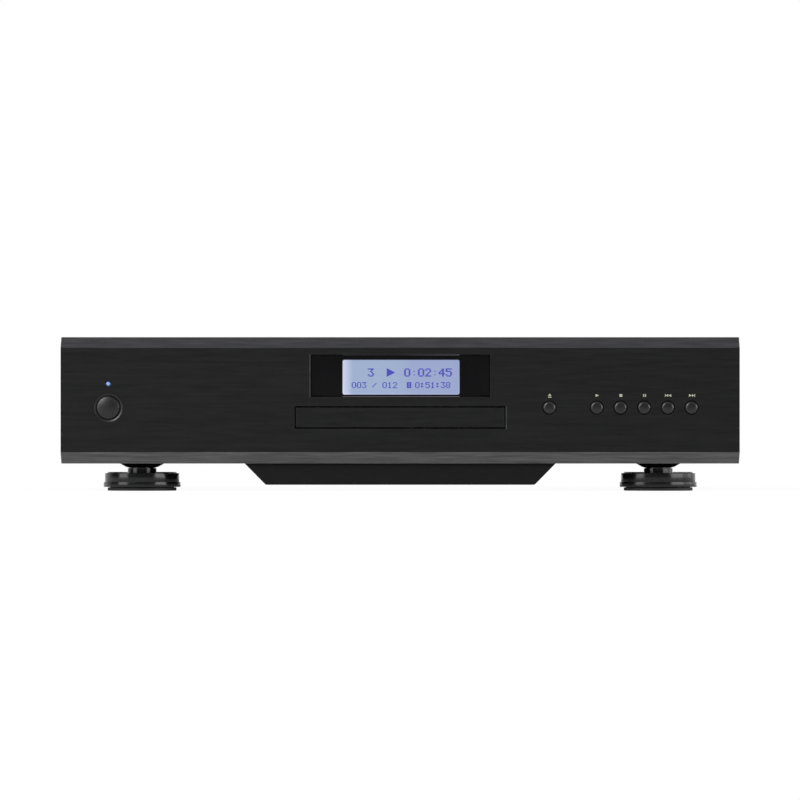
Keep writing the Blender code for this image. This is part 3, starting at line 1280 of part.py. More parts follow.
def make_clamp_bridge():
    """Steel bridge across the frame that hangs the clamp over the turntable."""
    y0 = DISC_Y - BRIDGE_LENGTH / 2
    y1 = DISC_Y + BRIDGE_LENGTH / 2
    body = (-FRAME_HALF, FRAME_HALF, y0, y1, BRIDGE_UNDER, BRIDGE_TOP)
    bridge = boxes("clamp_bridge", [body], "bare_steel")
    half = FRAME_HALF - FRAME_WALL
    low = BRIDGE_TOP - OVERLAP
    top = BRIDGE_TOP + BRIDGE_RIB
    ribs = [(-half, half, y0, y0 + SHEET, low, top), (-half, half, y1 - SHEET, y1, low, top)]
    join(bridge, boxes("bridge_ribs", ribs))
    hole = (0, DISC_Y, PUCK_NECK_RADIUS + PUCK_NECK_ROOM, BRIDGE_UNDER - OVERRUN, BRIDGE_TOP + OVERRUN)
    cut(bridge, cylinders("bridge_hole", "z", [hole], ROUND_SIDES))


def make_loading_motor():
    """Motor in the frame's floor that drives the tray through the belt."""
    can_top = PULLEY_UNDER - RUN_GAP
    can_under = can_top - MOTOR_HEIGHT
    shaft_top = PULLEY_TOP - FIT
    profile = [(0, shaft_top), (MOTOR_SHAFT_RADIUS, shaft_top), (MOTOR_SHAFT_RADIUS, can_top)]
    profile += [(MOTOR_RADIUS, can_top), (MOTOR_RADIUS, can_under), (0, can_under)]
    turned("loading_motor", profile, "bare_steel", (MOTOR_X, MOTOR_Y, 0))


def pulley_profile(radius, bore):
    """Closed profile of a grooved pulley with a bore, from its own underside up."""
    low = (PULLEY_HEIGHT - PULLEY_GROOVE_WIDTH) / 2
    high = (PULLEY_HEIGHT + PULLEY_GROOVE_WIDTH) / 2
    waist = radius - PULLEY_GROOVE_DEPTH
    points = [(bore, PULLEY_HEIGHT), (radius, PULLEY_HEIGHT), (radius, high), (waist, high)]
    return points + [(waist, low), (radius, low), (radius, 0), (bore, 0)]


def make_tray_drive():
    """Motor pulley, belt, pulley with its pinion, and the gear that moves the tray."""
    profile = pulley_profile(MOTOR_PULLEY_RADIUS, MOTOR_SHAFT_RADIUS + FIT)
    origin = (MOTOR_X, MOTOR_Y, PULLEY_UNDER)
    turned("motor_pulley", profile, "white_plastic", origin, sides=SMALL_SIDES, ring=True)
    bore = PIN_RADIUS + FIT
    origin = (GEAR_X, PULLEY_Y, PULLEY_UNDER)
    pulley = turned("pulley_gear", pulley_profile(PULLEY_RADIUS, bore), "white_plastic", origin, ring=True)
    pinion = gear_outline(PINION_TEETH, 90, bore)
    low = PULLEY_TOP - OVERLAP
    high = PULLEY_TOP + PINION_HEIGHT
    join(pulley, prism("pulley_pinion", shifted(pinion, GEAR_X, PULLEY_Y), "z", low, high))
    loops = shifted(gear_outline(TRAY_GEAR_TEETH, 0, bore), GEAR_X, GEAR_Y)
    low = PULLEY_TOP + FIT
    high = TRAY_UNDER - RUN_GAP
    prism("tray_gear", loops, "z", low, high, "white_plastic", (GEAR_X, GEAR_Y, low))
    make_drive_belt()


def shifted(loops, x, y):
    """Outlines moved to a place."""
    return [[(across + x, up + y) for across, up in loop] for loop in loops]


def make_drive_belt():
    """Round belt lying in the grooves of the two pulleys."""
    seat = BELT_RADIUS + FIT - PULLEY_GROOVE_DEPTH
    large = PULLEY_RADIUS + seat
    small = MOTOR_PULLEY_RADIUS + seat
    across = GEAR_X - MOTOR_X
    up = PULLEY_Y - MOTOR_Y
    heading = math.degrees(math.atan2(up, across))
    spread = math.degrees(math.acos((large - small) / math.hypot(across, up)))
    start = heading - 180 + spread
    turn = heading + 180 - spread
    end = heading + 180 + spread
    far = arc((GEAR_X, PULLEY_Y), (large, large), start, turn, BELT_SEGMENTS)
    near = arc((MOTOR_X, MOTOR_Y), (small, small), turn, end, BELT_SEGMENTS)
    route = bpy.data.curves.new("drive_belt", "CURVE")
    route.dimensions = "3D"
    route.bevel_depth = BELT_RADIUS
    route.bevel_resolution = 1
    spline = route.splines.new("POLY")
    points = far + near
    spline.points.add(len(points) - 1)
    for point, (x, y) in zip(spline.points, points):
        point.co = (x, y, PULLEY_UNDER + PULLEY_HEIGHT / 2, 1)
    spline.use_cyclic_u = True
    place("drive_belt", route, "rubber")


def make_disc_tray():
    """Sliding tray with wells for both disc sizes, a slot for the turntable, a rack and tongues."""
    origin = (0, DISC_Y, TRAY_UNDER)
    body = (-TRAY_HALF, TRAY_HALF, TRAY_FRONT, TRAY_REAR, TRAY_UNDER, TRAY_TOP)
    tray = boxes("disc_tray", [body], "satin_black", origin)
    above = TRAY_TOP + OVERRUN
    below = TRAY_UNDER - OVERRUN
    floor = TRAY_TOP - WELL_DEPTH
    inner_floor = floor - INNER_WELL_DEPTH
    cut(tray, cylinders("tray_well", "z", [(0, DISC_Y, WELL_RADIUS, floor, above)], BROAD_SIDES))
    inner = (0, DISC_Y, INNER_WELL_RADIUS, inner_floor, above + OVERRUN)
    cut(tray, cylinders("tray_inner_well", "z", [inner], BROAD_SIDES))
    slot_half = TRAY_SLOT_HALF
    slot = prism("tray_slot", [tray_slot_outline(slot_half)], "z", below, above + 2 * OVERRUN)
    near = slot_half + TRAY_POCKET_MARGIN
    far = RACK_X - MODULE - TRAY_POCKET_MARGIN
    front = DISC_Y + WELL_RADIUS
    back = TRAY_REAR - TRAY_POCKET_MARGIN
    pockets = []
    for side in (-1, 1):
        x0, x1 = sorted((side * near, side * far))
        pockets.append((x0, x1, front, back, below, TRAY_TOP - TRAY_SHELL))
    cut(tray, slot, boxes("tray_pockets", pockets))
    rack_start = GEAR_Y - RACK_LEAD
    rack_end = TRAY_REAR - FIT
    outline = rack_outline(rack_start, rack_end, RACK_X, RACK_BACK_X, GEAR_Y)
    rack = prism("tray_rack", [outline], "z", RACK_UNDER, TRAY_UNDER + OVERLAP)
    low = TRAY_UNDER + TONGUE_RISE
    high = low + TONGUE_HEIGHT
    reach = TRAY_HALF + TONGUE_REACH
    root = TRAY_HALF - OVERLAP
    front = TRAY_REAR - TONGUE_LENGTH
    back = TRAY_REAR - OVERLAP
    tongues = [(-reach, -root, front, back, low, high), (root, reach, front, back, low, high)]
    join(tray, rack, boxes("tray_tongues", tongues))


def tray_slot_outline(half):
    """Slot from the middle of the disc to the tray's rear end, round at the front."""
    end = TRAY_REAR + OVERRUN
    return [(half, end), (-half, end)] + arc((0, DISC_Y), (half, half), 180, 360, ARC_STEPS * 3)


def make_tray_front():
    """Flap on the front of the tray that closes the slot in the fascia."""
    width = SLOT_WIDTH - 2 * FLAP_GAP
    height = SLOT_HEIGHT - 2 * FLAP_GAP
    body = middle_span(0, SLOT_Z, width, height, FRONT_Y, WALL_BACK)
    flap = boxes("tray_front", [body], "anodised", (0, WALL_BACK, SLOT_Z))
    bevel = flap.modifiers.new("Edges", "BEVEL")
    bevel.width = FLAP_EDGE
    bevel.segments = 1
    bevel.limit_method = "ANGLE"


def make_cam_slider():
    """Slider whose sloping slot raises and lowers the front of the traverse."""
    start = CAM_X - CAM_TAIL
    end = CAM_X + CAM_STROKE + CAM_END
    low = FLOOR_TOP + FIT
    high = PIVOT_Z + CAM_GAP
    body = (start, end, CAM_FRONT, CAM_BACK, low, high)
    slider = boxes("cam_slider", [body], "white_plastic", (CAM_X, CAM_BACK, low))
    bottom = (CAM_X + CAM_STROKE, PIVOT_Z - CAM_DROP)
    outline = capsule((CAM_X, PIVOT_Z), bottom, CAM_PIN_RADIUS + FIT)
    cut(slider, prism("cam_slot", [outline], "y", CAM_FRONT - OVERRUN, CAM_BACK + OVERRUN))


def make_traverse():
    """Plate that carries the disc drive and tilts about pins at its rear."""
    rear = PIVOT_Y + PIVOT_MARGIN
    origin = (0, PIVOT_Y, PIVOT_Z)
    body = (-TRAVERSE_HALF, TRAVERSE_HALF, TRAVERSE_FRONT, rear, PLATE_UNDER, PLATE_TOP)
    plate = boxes("traverse_plate", [body], "bare_steel", origin)
    blocks = []
    half = ROD_BLOCK_HALF
    for side in (-1, 1):
        for y in (ROD_FRONT_BLOCK - ROD_BLOCK_LENGTH, ROD_REAR_BLOCK):
            x = side * ROD_X
            blocks.append((x - half, x + half, y, y + ROD_BLOCK_LENGTH, PLATE_TOP - OVERLAP, SLED_TOP))
    pins = []
    for side in (-1, 1):
        ends = sorted((side * (TRAVERSE_HALF - OVERRUN), side * (TRAVERSE_HALF + PIVOT_PIN_LENGTH)))
        pins.append((PIVOT_Y, PIVOT_Z, PIN_RADIUS, *ends))
    cam_pin = (CAM_X, PIVOT_Z, CAM_PIN_RADIUS, CAM_FRONT, TRAVERSE_FRONT + OVERRUN)
    join(plate, boxes("rod_blocks", blocks), cylinders("pivot_pins", "x", pins))
    join(plate, cylinders("cam_pin", "y", [cam_pin]))
    before = ROD_FRONT_BLOCK - ROD_BLOCK_LENGTH - OVERRUN
    behind = ROD_REAR_BLOCK + ROD_BLOCK_LENGTH + OVERRUN
    bores = [(side * ROD_X, ROD_Z, ROD_RADIUS + FIT, before, behind) for side in (-1, 1)]
    low = PLATE_UNDER - OVERRUN
    high = PLATE_TOP + OVERRUN
    spindle = (0, DISC_Y, SPINDLE_BOSS_RADIUS + FIT, low, high)
    sled = (SLED_PINION_X, SLED_MOTOR_Y, SLED_MOTOR_BOSS_RADIUS + FIT, low, high)
    half = PICKUP_WINDOW_WIDTH / 2
    window_y = SLED_FRONT + ACTUATOR_INSET
    window = (-half, half, window_y, window_y + PICKUP_WINDOW_LENGTH, low, high)
    cut(plate, cylinders("rod_bores", "y", bores))
    cut(plate, cylinders("motor_holes", "z", [spindle, sled], ROUND_SIDES), boxes("pickup_window", [window]))


def make_guide_rods():
    """Polished rods that the pickup sled runs on."""
    start = ROD_FRONT_BLOCK - ROD_BLOCK_LENGTH + ROD_END_INSET
    end = ROD_REAR_BLOCK + ROD_BLOCK_LENGTH - ROD_END_INSET
    for side, sign in (("left", -1), ("right", 1)):
        x = sign * ROD_X
        rod = (x, ROD_Z, ROD_RADIUS, start, end)
        cylinders("guide_rod_" + side, "y", [rod], SMALL_SIDES, "polished_steel", (x, start, ROD_Z))


def motor_profile(radius, boss, shaft, shaft_top):
    """Outline of a small motor hung under the traverse plate, with its boss and shaft."""
    can_top = PLATE_UNDER - FIT
    can_under = can_top - SPINDLE_HEIGHT
    boss_top = PLATE_TOP
    points = [(0, shaft_top), (shaft, shaft_top), (shaft, boss_top), (boss, boss_top), (boss, can_top)]
    return points + [(radius, can_top), (radius, can_under), (0, can_under)]


def make_disc_drive():
    """Spindle motor, turntable and clamp."""
    place_at = (0, DISC_Y, 0)
    shaft_top = PLATTER_TOP - HUB_TAPER
    profile = motor_profile(SPINDLE_RADIUS, SPINDLE_BOSS_RADIUS, SPINDLE_SHAFT_RADIUS, shaft_top)
    turned("spindle_motor", profile, "bare_steel", place_at)
    hub_top = PLATTER_TOP + HUB_HEIGHT
    platter_under = PLATTER_TOP - PLATTER_THICKNESS
    bore = SPINDLE_SHAFT_RADIUS + FIT
    neck_under = PLATE_TOP + FIT
    profile = [(0, hub_top), (HUB_RADIUS - HUB_TAPER, hub_top), (HUB_RADIUS, hub_top - HUB_TAPER)]
    profile += [(HUB_RADIUS, PLATTER_TOP), (PLATTER_RADIUS, PLATTER_TOP), (PLATTER_RADIUS, platter_under)]
    profile += [(NECK_RADIUS, platter_under), (NECK_RADIUS, neck_under), (bore, neck_under)]
    profile += [(bore, shaft_top + FIT), (0, shaft_top + FIT)]
    turned("turntable", profile, "satin_black", place_at)
    under = PLATTER_TOP + FIT
    shoulder = BRIDGE_UNDER - PUCK_LIFT
    flange = PUCK_NECK_RADIUS + PUCK_FLANGE_WIDTH
    flange_under = BRIDGE_TOP + FIT
    flange_top = flange_under + PUCK_FLANGE_THICKNESS
    recess = HUB_RADIUS + OVERLAP
    profile = [(0, flange_top), (flange, flange_top), (flange, flange_under)]
    profile += [(PUCK_NECK_RADIUS, flange_under), (PUCK_NECK_RADIUS, shoulder), (PUCK_RADIUS, shoulder)]
    profile += [(PUCK_RADIUS, under), (recess, under), (recess, hub_top + OVERLAP), (0, hub_top + OVERLAP)]
    turned("clamp_puck", profile, "satin_black", place_at)


def make_pickup():
    """Pickup sled on its rods, its rack, the focusing lens, and the motor and pinion that move it."""
    body = (-SLED_HALF, SLED_HALF, SLED_FRONT, SLED_REAR, SLED_UNDER, SLED_TOP)
    sled = boxes("pickup_sled", [body], "grey_plastic", (0, SLED_FRONT, SLED_UNDER))
    half = ACTUATOR_WIDTH / 2
    front = SLED_FRONT + ACTUATOR_INSET
    top = SLED_TOP + ACTUATOR_HEIGHT
    actuator = (-half, half, front, front + ACTUATOR_LENGTH, SLED_TOP - OVERLAP, top)
    arm_end = SLED_MOTOR_Y + SLED_ARM_TAIL
    low = SLED_UNDER + RUN_GAP
    outline = rack_outline(SLED_FRONT + OVERLAP, arm_end, SLED_RACK_X, SLED_ARM_X, SLED_MOTOR_Y)
    rack = prism("sled_rack", [outline], "z", low, low + SLED_ARM_HEIGHT)
    join(sled, boxes("sled_actuator", [actuator]), rack)
    before = SLED_FRONT - OVERRUN
    bores = [(side * ROD_X, ROD_Z, ROD_RADIUS + FIT, before, SLED_REAR + OVERRUN) for side in (-1, 1)]
    floor = top - LENS_WELL_DEPTH
    well = cylinders("lens_well", "z", [(0, LENS_Y, LENS_RADIUS + FIT, floor, top + OVERRUN)], ROUND_SIDES)
    cut(sled, cylinders("sled_bores", "y", bores), well)
    under = floor + LENS_TRAVEL + FIT
    profile = [(0, LENS_HEIGHT + LENS_DOME)]
    profile += [(LENS_INNER_RADIUS / 2, LENS_HEIGHT + LENS_DOME * DOME_SHOULDER_SHARE)]
    profile += [(LENS_INNER_RADIUS, LENS_HEIGHT), (LENS_RADIUS, LENS_HEIGHT), (LENS_RADIUS, 0), (0, 0)]
    turned("objective_lens", profile, "lens", (0, LENS_Y, under))
    pinion_under = PLATE_TOP + OVERLAP
    pinion_top = pinion_under + SLED_PINION_HEIGHT
    shaft_top = pinion_top - FIT
    profile = motor_profile(SLED_MOTOR_RADIUS, SLED_MOTOR_BOSS_RADIUS, SLED_SHAFT_RADIUS, shaft_top)
    turned("sled_motor", profile, "bare_steel", (SLED_PINION_X, SLED_MOTOR_Y, 0), sides=SMALL_SIDES)
    gear = gear_outline(SLED_PINION_TEETH, 180, SLED_SHAFT_RADIUS + FIT)
    loops = shifted(gear, SLED_PINION_X, SLED_MOTOR_Y)
    place_at = (SLED_PINION_X, SLED_MOTOR_Y, pinion_under)
    prism("sled_pinion", loops, "z", pinion_under, pinion_top, "white_plastic", place_at)


def build():
    """Make every piece of the player."""
    make_fascia()
    make_display()
    make_keys()
    make_power_button()
    make_power_switch()
    make_pilot_light()
    make_front_subpanel()
    make_front_board()
    make_feet()
    make_base_pan()
    make_top_cover()
    make_chin_pan()
    make_rear_panel()
    make_round_sockets()
    make_control_port()
    make_mains_inlet()
    make_power_board()
    make_capacitors()
    make_heatsink()
    make_transformer()
    make_main_board()
    make_ribbon_cable()
    make_loader_frame()
    make_clamp_bridge()
    make_loading_motor()
    make_tray_drive()
    make_disc_tray()
    make_tray_front()
    make_cam_slider()
    make_traverse()
    make_guide_rods()
    make_disc_drive()
    make_pickup()


build()
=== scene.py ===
"""Looks of the CD player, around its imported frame.

Lengths are in metres. Every piece is modelled where it stands and its object stays at the origin, so
a material's object coordinates are places on the player. The front faces -Y, +X is to the right from
the front, and Z is up.
"""

import json
import math
import re

import bmesh
import bpy
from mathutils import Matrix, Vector


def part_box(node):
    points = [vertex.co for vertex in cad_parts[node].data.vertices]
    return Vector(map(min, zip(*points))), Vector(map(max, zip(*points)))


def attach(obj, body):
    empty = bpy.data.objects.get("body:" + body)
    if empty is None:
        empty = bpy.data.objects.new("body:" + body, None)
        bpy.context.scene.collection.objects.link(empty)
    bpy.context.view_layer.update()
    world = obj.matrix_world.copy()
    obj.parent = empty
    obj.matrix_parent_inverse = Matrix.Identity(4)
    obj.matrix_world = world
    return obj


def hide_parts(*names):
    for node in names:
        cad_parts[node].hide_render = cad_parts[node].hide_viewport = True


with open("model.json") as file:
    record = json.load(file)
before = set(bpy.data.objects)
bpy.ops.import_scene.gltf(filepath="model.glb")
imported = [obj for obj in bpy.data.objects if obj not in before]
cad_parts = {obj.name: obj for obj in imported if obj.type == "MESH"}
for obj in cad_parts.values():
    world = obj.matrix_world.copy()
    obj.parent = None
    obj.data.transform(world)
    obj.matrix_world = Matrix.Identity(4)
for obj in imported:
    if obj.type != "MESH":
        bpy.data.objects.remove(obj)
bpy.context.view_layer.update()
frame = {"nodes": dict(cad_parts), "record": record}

# How finely round shapes and their edges are drawn
BROAD_SIDES = 96
ROUND_SIDES = 64
SMALL_SIDES = 32
CONTACT_SIDES = 8
FILLET_STEPS = 4
SHARP_DEGREES = 32
HAIR = 0.00002
TINY = 0.000001
OVERRUN = 0.002
FIT = 0.0003

# Usual range of a noise's values
NOISE_RANGE = (0.3, 0.7)

# Fascia
FASCIA_WALL = 0.005
FASCIA_RIM = 0.0055
FASCIA_BEVEL = 0.007
FASCIA_EDGE = 0.0003
KEY_NAMES = ("eject", "play", "stop", "pause", "previous", "next")
KEY_RADIUS = 0.0041
POWER_RADIUS = 0.00705
POWER_RING = 0.00165
POWER_RING_SINK = 0.00064
POWER_RING_DEPTH = 0.002
LED_RADIUS = 0.0015
WINDOW_WIDTH = 0.1137
WINDOW_HEIGHT = 0.0266
WINDOW_RISE = 0.0556
SLOT_WIDTH = 0.1337
SLOT_HEIGHT = 0.0142
SLOT_RISE = 0.0292
FLAP_EDGE = 0.0004
FLAP_EDGE_STEPS = 3
SEAL_GAP = 0.0003

# Window plate and the screen in it
PLATE_SETBACK = 0.0008
PLATE_EDGE = 0.0003
LIP_THICKNESS = 0.0012
SCREEN_WIDTH = 0.074
SCREEN_HEIGHT = 0.0220
SCREEN_X = 0.00057
SCREEN_LEFT = SCREEN_X - SCREEN_WIDTH / 2
SCREEN_RISE = 0.0547
SCREEN_CORNER = 0.0011
SCREEN_BORDER = 0.0008
SCREEN_BORDER_DEPTH = 0.0003
# Width of the strips of painted highlight on the openings' edges
EDGE_HIGHLIGHT_WIDTH = 0.0005
GLINT_HEIGHT = 0.00018
GLINT_DEPTH = 0.0001
LIT_DEPTH = 0.0002

# Characters on the screen, drawn as dots
DOT_SHARE = 0.97
DOT_DEPTH = 0.00004
GLYPH_ROWS = 7
GLYPHS = {
    "0": "01110 10001 10001 10001 10001 10001 01110",
    "1": "00100 01100 00100 00100 00100 00100 01110",
    "2": "01110 10001 00001 00010 00100 01000 11111",
    "3": "11111 00010 00100 00010 00001 10001 01110",
    "4": "00010 00110 01010 10010 11111 00010 00010",
    "5": "11111 10000 11110 00001 00001 10001 01110",
    "8": "01110 10001 10001 01110 10001 10001 01110",
    ":": "00000 01100 01100 00000 01100 01100 00000",
    "/": "00000 00001 00010 00100 01000 10000 00000",
    " ": "00000 00000 00000 00000 00000 00000 00000",
    "dots": "00000 00000 00100 00000 00000 00100 00000",
    "box": "11111 11011 11011 11011 11011 11011 11111",
}
# Rise of a line of characters, the pitch of its dots across and up, and the share of a dot that is added
UPPER_LINE = (0.0551, 0.00073, 0.00074, 0.55)
LOWER_LINE = (0.0478, 0.00054, 0.00054, 0.35)
# Line of each text, its way in from the screen's left edge, and its characters
TEXTS = (
    (UPPER_LINE, 0.0160, ["3"]),
    (UPPER_LINE, 0.0391, ["0", "dots", "0", "2", "dots", "4", "5"]),
    (LOWER_LINE, 0.0058, "003 / 012"),
    (LOWER_LINE, 0.0407, ["box"]),
    (LOWER_LINE, 0.0460, "0:51:38"),
)
ARROW_INSET = 0.0279
ARROW_WIDTH = 0.0054
ARROW_HEIGHT = 0.0056

# Pictograms printed over the keys
PRINT_DEPTH = 0.00005
PRINT_GAP = 0.000005
PRINT_RISE = 0.0431
PRINT_HEIGHT = 0.0017
PRINT_SHIFT = 0.0002

# Keys, power button and pilot light: radius, height, sag and last fall of a dome, and profile of its stem
KEY_DOME = (KEY_RADIUS, 0.0012, 0.0004, 0.0009)
KEY_STEM = [(KEY_RADIUS, -0.0053), (0.0052, -0.0053), (0.0052, -0.0061), (0, -0.0061)]
POWER_DOME = (POWER_RADIUS - 0.0002, 0.002, 0.0011, 0.0001)
POWER_STEM = [(POWER_RADIUS, 0.0006), (POWER_RADIUS, -0.0053), (0.0086, -0.0053), (0.0086, -0.0063)]
POWER_STEM += [(0.003, -0.0063), (0.003, -0.0128), (0, -0.0128)]
LED_DOME = (LED_RADIUS, 0.0006, 0.0006, 0)
LED_STEM = [(LED_RADIUS, -0.0053), (0.0025, -0.0053), (0.0025, -0.009), (0, -0.009)]
DOME_STEPS = 24
DOME_ROUND_POWER = 8
LED_GLOW_RADIUS = 0.0008
LED_DARK_RADIUS = 0.0013

# Feet: profile as (radius, height) points, some with the radius of their rounding
FOOT_PROFILE = [
    (0, 0), (0.02465, 0, 0.00015), (0.02465, 0.0031, 0.000075), (0.0236, 0.0031),
    (0.0236, 0.0033), (0.0238, 0.0033, 0.00005), (0.0238, 0.0088, 0.00015), (0.00925, 0.0088, 0.000075),
    (0.00925, 0.0119), (0.0081, 0.0119), (0.0081, 0.0124), (0.0096, 0.0124, 0.006),
    (0.0143, 0.015), (0, 0.015),
]
PAD_SOFT = 0.0005

# Rear sockets: profiles in the same way, with heights over the panel
JACK_COLOURS = {"output_jack_left": "insulator_white", "output_jack_right": "insulator_red",
                "digital_jack": "insulator_amber"}
JACK_GROOVE = ((0.00415, 0), (0.0040, 0.0002), (0.0040, 0.0008), (0.00415, 0.001))
JACK_SHELL = [(0.0033, 0.0094), (0.0033, 0.010), (0.00415, 0.010, 0.0003)]
JACK_SHELL += [(radius, end - down) for end in (0.0078, 0.0062, 0.0046) for radius, down in JACK_GROOVE]
JACK_SHELL += [(0.00415, 0.0018), (0.006, 0.0018, 0.0003), (0.006, FIT), (0.0033, FIT)]
JACK_LINER = [(0.0017, 0.0016), (0.0017, 0.0096, 0.0002), (0.0033, 0.0096, 0.0002), (0.0033, 0.0016)]
TRIGGER_SHELL = [(0.0018, -0.007), (0.0018, 0.003, 0.0003), (0.00535, 0.003, 0.0005)]
TRIGGER_SHELL += [(0.00535, FIT), (0.0033, FIT), (0.0033, -0.007)]
TRIGGER_RING = [(0.0016, 0.0005), (0.0016, 0.0022), (0.00178, 0.0022), (0.00178, 0.0005)]
SOCKET_HALF = 0.006
SOCKET_DEPTH = 0.0105
SOCKET_EDGE = 0.0003
COLLAR = [(0, 0), (0.00396, 0), (0.00396, 0.0016), (0, 0.0016)]
CONTACT_COUNT = 8
CONTACT_PITCH = 0.00102
CONTACT_PROFILE = [(0.0002, 0), (0.0002, 0.0085)]
CONTACT_INSET = 0.0022
CONTACT_DROP = 0.0045
CONTACT_SLANT = Vector((0, -0.9, -0.35)).normalized()
INLET_PROUD = 0.0028
PIN_PLACES = ((-0.007, -0.002), (0, 0.002), (0.007, -0.002))
PIN_SIZE = (0.0022, 0.0042, 0.0003)
PIN_CORNER_STEPS = 2
PIN_EDGE = 0.0003
PIN_FRONT = 0.0160
PIN_BACK = 0.0028

# Sheet metal and circuit boards
SHEET_EDGE = 0.0004
PAN_EDGE = 0.0007
STANDOFF = 0.0068
BOARD = 0.0016
BOARD_GREEN = (0.009, 0.08, 0.026)
COMPONENT_BLACK = (0.012, 0.012, 0.013)
NYLON = (0.55, 0.55, 0.50)
WINDING_WAVES = 240

# Disc tray
TRAY_WELLS = [(0, OVERRUN), (0.0605, OVERRUN), (0.0605, -0.0046)]
TRAY_WELLS += [(0.0405, -0.0046), (0.0405, -0.006), (0, -0.006)]
TRAY_WIDTH = 0.128
TRAY_LENGTH = 0.1877
TRAY_HEIGHT = 0.009
TRAY_SLOT_HALF = 0.0185
TRAY_EDGE = 0.0004
TONGUE_LENGTH = 0.036
TONGUE_REACH = 0.0016
TONGUE_RISE = 0.0015
TONGUE_HEIGHT = 0.002
RACK_BACK_X = 0.0593
RACK_X = 0.0555
RACK_START_AHEAD = 0.008
GEAR_Y = -0.104
MODULE = 0.001
# A tooth's tip and root, as modules from the pitch line, and half its width there, as a share of the pitch
TOOTH_TIP = (0.95, 0.1)
TOOTH_ROOT = (1.25, 0.3)

# Screws: radius and height of their heads, and size of their recesses
SCREW = (0.0028, 0.0018)
SIDE_SCREW = (0.0035, 0.0019)
INLET_SCREW = (0.0024, 0.0012)
HEXAGON = 0.00147
CROSS = (0.00154, 0.000392)
SMALL_CROSS = (0.0014, 0.0004)
# Profile of a head and the depths in its recess, as shares of its radius and height
HEAD = ((0, 0), (1, 0), (1, 0.4), (0.93, 0.75), (0.72, 1))
RECESS_RIM = 0.35
RECESS_MIDDLE = 0.3
SIDE_SCREW_INSET = 0.035
SIDE_SCREW_RISE = 0.018
REAR_TOP_SCREWS = (-0.198, -0.066, 0.066, 0.198)
REAR_TOP_DROP = 0.007
REAR_LOW_SCREWS = (-0.120, 0.0, 0.072)
REAR_LOW_RISE = 0.006
INLET_SCREW_REACH = 0.020
UNDER_SCREWS = ((-0.080, 0.0), (0.080, 0.0), (-0.100, 0.130), (0.100, 0.130), (0.0, 0.060))

# Studio
FLOOR_WIDTH = 18.0
FLOOR_WHITE = (0.86, 0.86, 0.86)
SHADOW_REACH = (0.3, 1.0)
# Share of the floor's glow near the player and far from it, for each kind of ray
FLOOR_GLOW = (("Is Camera Ray", 0.96, 1.0), ("Is Transmission Ray", 0.96, 1.0), ("Is Glossy Ray", 0.25, 0.6))
# Heights over which the sky brightens and its strength there, and how far back reflections turn white
SKY_SPAN = (0.0, 0.75, 0.12, 0.8)
BACKDROP_SPAN = (0.1, 0.5)
# Azimuth and elevation of each lamp in degrees, its width and height, and its radiance
LAMPS = {
    "key_light": (-42, 33, 1.1, 1.1, 11.0),
    "left_light": (-60, 10, 1.1, 0.9, 5.0),
    "right_light": (60, 11, 1.5, 1.0, 6.0),
    "side_light": (97, 8, 1.6, 0.7, 2.4),
}
LAMP_DISTANCE = 2.2
CAMERA_LENS = 213.27
CAMERA_SHIFT = (-0.0002, 0.0694)
CAMERA_DISTANCE = 3.0
CAMERA_HEIGHT = 0.0225

# Fixed places on the player
fascia_low, fascia_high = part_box("fascia")
FRONT_Y = fascia_low.y
FASCIA_BACK = fascia_high.y
WALL_BACK = FRONT_Y + FASCIA_WALL
PLATE_Y = FRONT_Y + PLATE_SETBACK
SCREEN_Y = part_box("lcd_module")[0].y
INK_DEPTHS = (SCREEN_Y - HAIR - DOT_DEPTH, SCREEN_Y - HAIR)
REAR_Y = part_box("rear_panel")[1].y
INLET_Y = REAR_Y + INLET_PROUD
WINDOW_Z = fascia_low.z + WINDOW_RISE
SCREEN_Z = fascia_low.z + SCREEN_RISE
SLOT_Z = fascia_low.z + SLOT_RISE
FRONT = Vector((0, -1, 0))
REAR = Vector((0, 1, 0))
UP = Vector((0, 0, 1))
DOWN = Vector((0, 0, -1))
LEFT = Vector((-1, 0, 0))
RIGHT = Vector((1, 0, 0))


def middle(node):
    """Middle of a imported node's box."""
    low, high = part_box(node)
    return (low + high) / 2


def on_front(node):
    """Place on the fascia's front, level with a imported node's middle."""
    centre = middle(node)
    return Vector((centre.x, FRONT_Y, centre.z))


# Shapes


def skin(shape, rings, loop=False):
    """Faces between rings of points. A ring of one point closes its end, and another gets a flat cap."""
    rows = [[shape.verts.new(point) for point in ring] for ring in rings]
    pairs = list(zip(rows, rows[1:]))
    if loop:
        pairs.append((rows[-1], rows[0]))
    for near, far in pairs:
        count = max(len(near), len(far))
        for step in range(count):
            after = (step + 1) % count
            corners = [near[step % len(near)], near[after % len(near)]]
            corners += [far[after % len(far)], far[step % len(far)]]
            shape.faces.new(list(dict.fromkeys(corners)))
    if loop:
        return
    for end in (rows[0], rows[-1]):
        if len(end) > 2:
            shape.faces.new(end)


def turned(shape, profile, origin, facing, sides=ROUND_SIDES, loop=False):
    """Profile of (radius, height) points turned about an axis. A radius may be a function of the angle."""
    across = facing.orthogonal().normalized()
    up = facing.cross(across)
    rings = []
    for radius, height in profile:
        centre = Vector(origin) + facing * height
        if radius == 0:
            rings.append([centre])
            continue
        ring = []
        for step in range(sides):
            angle = math.tau * step / sides
            reach = radius(angle) if callable(radius) else radius
            ring.append(centre + (across * math.cos(angle) + up * math.sin(angle)) * reach)
        rings.append(ring)
    skin(shape, rings, loop)


